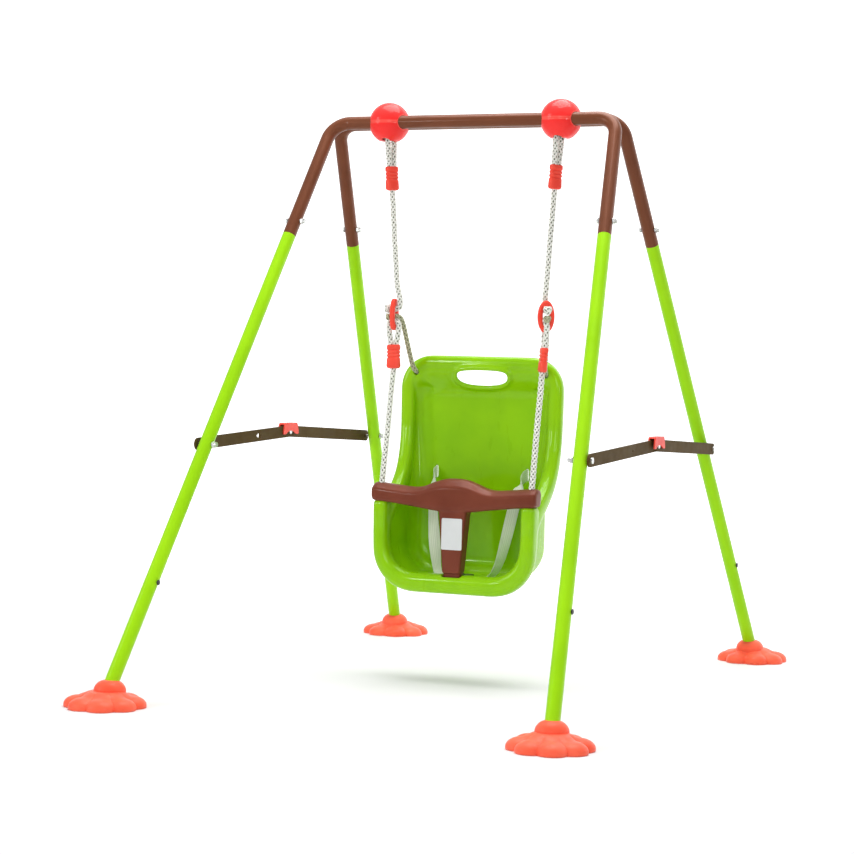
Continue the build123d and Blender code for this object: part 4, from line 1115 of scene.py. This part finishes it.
def eased(table, x):
    """Value on a smooth curve through (x, value) pairs, level at both ends."""
    if x <= table[0][0]:
        return table[0][1]
    for i in range(len(table) - 1):
        (x0, v0), (x1, v1) = table[i], table[i + 1]
        if x <= x1:
            span = x1 - x0
            slope_in = (v1 - table[i - 1][1]) / (x1 - table[i - 1][0]) if i > 0 else 0.0
            slope_out = (table[i + 2][1] - v0) / (table[i + 2][0] - x0) if i + 2 < len(table) else 0.0
            t = (x - x0) / span
            return (v0 * (2 * t ** 3 - 3 * t ** 2 + 1) + v1 * (3 * t ** 2 - 2 * t ** 3)
                    + span * (slope_in * (t ** 3 - 2 * t ** 2 + t) + slope_out * (t ** 3 - t ** 2)))
    return table[-1][1]


def make_t_bar():
    """Cross bar with a sloping top and a raised middle, and the post under it."""
    half, round_off, depth = 186.5, 13.0, 22.5
    top_line = [(0.0, 434.5), (25.0, 432.5), (50.0, 424.5), (70.0, 416.5),
                (92.0, 413.5), (140.0, 417.0), (186.0, 421.0)]
    bottom_line = [(0.0, 363.0), (35.0, 364.5), (70.0, 369.0),
                   (110.0, 374.0), (150.0, 378.5), (186.0, 380.0)]
    slope_line = [(0.0, 19.0), (75.0, 13.0), (186.0, 13.0)]
    rings = []
    stations = [-half + 2 * half * i / 150 for i in range(151)]
    for x in stations:
        away = abs(x)
        top, bottom = eased(top_line, away), eased(bottom_line, away)
        crease = top - eased(slope_line, away)
        section = rounded_polygon([(-depth, bottom), (-depth, crease), (-4.0, top), (depth, top - 1.5),
                                   (depth, bottom)], [11.0, 5.0, 9.0, 10.0, 11.0])
        near = half - away
        scale = 1.0
        if near < round_off:
            scale = 0.62 + 0.38 * math.sqrt(max(0.0, 1 - (1 - near / round_off) ** 2))
        middle = (top + bottom) / 2
        rings.append([Vector((x, BAR_Y + p.x * scale, middle + (p.y - middle) * scale)) * MM
                      for p in section])
    parts = [loft("cross_bar", rings)]
    rings = []
    for z, wide, deep in ((385, 33, 18.2), (366, 31.5, 18.0), (352, 30.2, 18.0), (300, 25.6, 18.0),
                          (250, 21.2, 18.0), (237.5, 20.0, 18.0), (235.5, 19.0, 17.0)):
        rings.append([Vector((u, BAR_Y + v, z)) * MM for u, v in superellipse(wide, deep, 7.0, 64)])
    parts.append(loft("post", rings))
    rings = [[Vector((u, BAR_Y + v, z)) * MM for u, v in superellipse(19.0, 11.0, 8.0, 32)]
             for z in (221.5, 240)]
    parts.append(loft("tongue", rings))
    bar = join("bar_and_post", parts)
    remesh(bar, 0.0016, 3)
    for side in SIDES:
        boolean(bar, rod("rope_hole", rope_line(side, 350), rope_line(side, 450), 7.2, 32))
    smooth(bar, 45)
    place_piece(bar, "t_bar_plastic", "t_bar", "t_bar")


# ---------------------------------------------------------------- lap belt

STRAP_POINTS = 28


def ribbon(name, route, width, thick, ways):
    """Flat strap along a route, turned by the given width directions, with its own map for the weave."""
    line, total = resample(centreline(route, name + "_line"), 0.003)
    rings, lengths = [], []
    for i, (point, distance) in enumerate(line):
        ahead = (line[min(i + 1, len(line) - 1)][0] - line[max(i - 1, 0)][0]).normalized()
        across = Vector([eased([(at, way[k]) for at, way in ways], distance / total) for k in range(3)])
        wide = (across - ahead * across.dot(ahead)).normalized()
        up = ahead.cross(wide)
        section = superellipse(width / 2, thick / 2, 5.0, STRAP_POINTS)
        rings.append([point + wide * u + up * v for u, v in section])
        lengths.append(distance)
    strap = loft(name, rings)
    uv = strap.data.uv_layers.new(name="strap")
    for face in strap.data.polygons:
        for loop_index, vertex in zip(face.loop_indices, face.vertices):
            ring, spot = divmod(vertex, STRAP_POINTS)
            u = 0.5 + 0.5 * math.cos(2 * math.pi * spot / STRAP_POINTS)
            uv.data[loop_index].uv = (u * width, lengths[min(ring, len(lengths) - 1)])
    smooth(strap, 50)
    return strap


def make_belts():
    """Two halves of the lap belt, from the back slots down to the buckle on the pan."""
    for side, hand in SIDES.items():
        route = [Vector((side * x, y, z)) for x, y, z in (
            (105, 103, 440), (105, 92, 440), (103, 74, 434), (97, 57, 400), (90, 45, 350), (82, 36, 300),
            (74, 28, 258), (66, 18, 234), (56, 6, 225), (42, -6, 222.6), (28, -9, 222.4))]
        ways = [(0.0, (0.0, 0.0, 1.0)), (0.08, (0.0, 0.0, 1.0)), (0.34, (1.0, 0.35 * side, 0.0)),
                (1.0, (0.15, 1.0, 0.0))]
        strap = ribbon(f"belt_{hand}", route, 0.025, 0.0016, ways)
        place_piece(strap, "webbing", "seat", f"lap_belt_{hand}")


# ---------------------------------------------------------------- carried-over CAD nodes

def dress_nodes():
    """Procedural materials and broken edges on the CAD nodes that stay."""
    slots = {part["node"]: part["material_slot"] for part in frame["record"]["subparts"]}
    for name, obj in frame["nodes"].items():
        obj.data.materials.clear()
        obj.data.materials.append(MATERIALS[slots[name]])
        if name.startswith("brace_bar"):
            bevelled(obj, 0.0007)
        elif name.endswith(("leg_left", "leg_right")):
            bevelled(obj, 0.0007, 2, 60)
        elif name.startswith("buckle"):
            bevelled(obj, 0.0009, 3)


make_camera()
make_ropes()
make_studio()
make_clamps()
make_clips()
make_bar_hole()
make_feet()
make_balls()
make_t_bar()
make_seat()
make_belts()
dress_nodes()
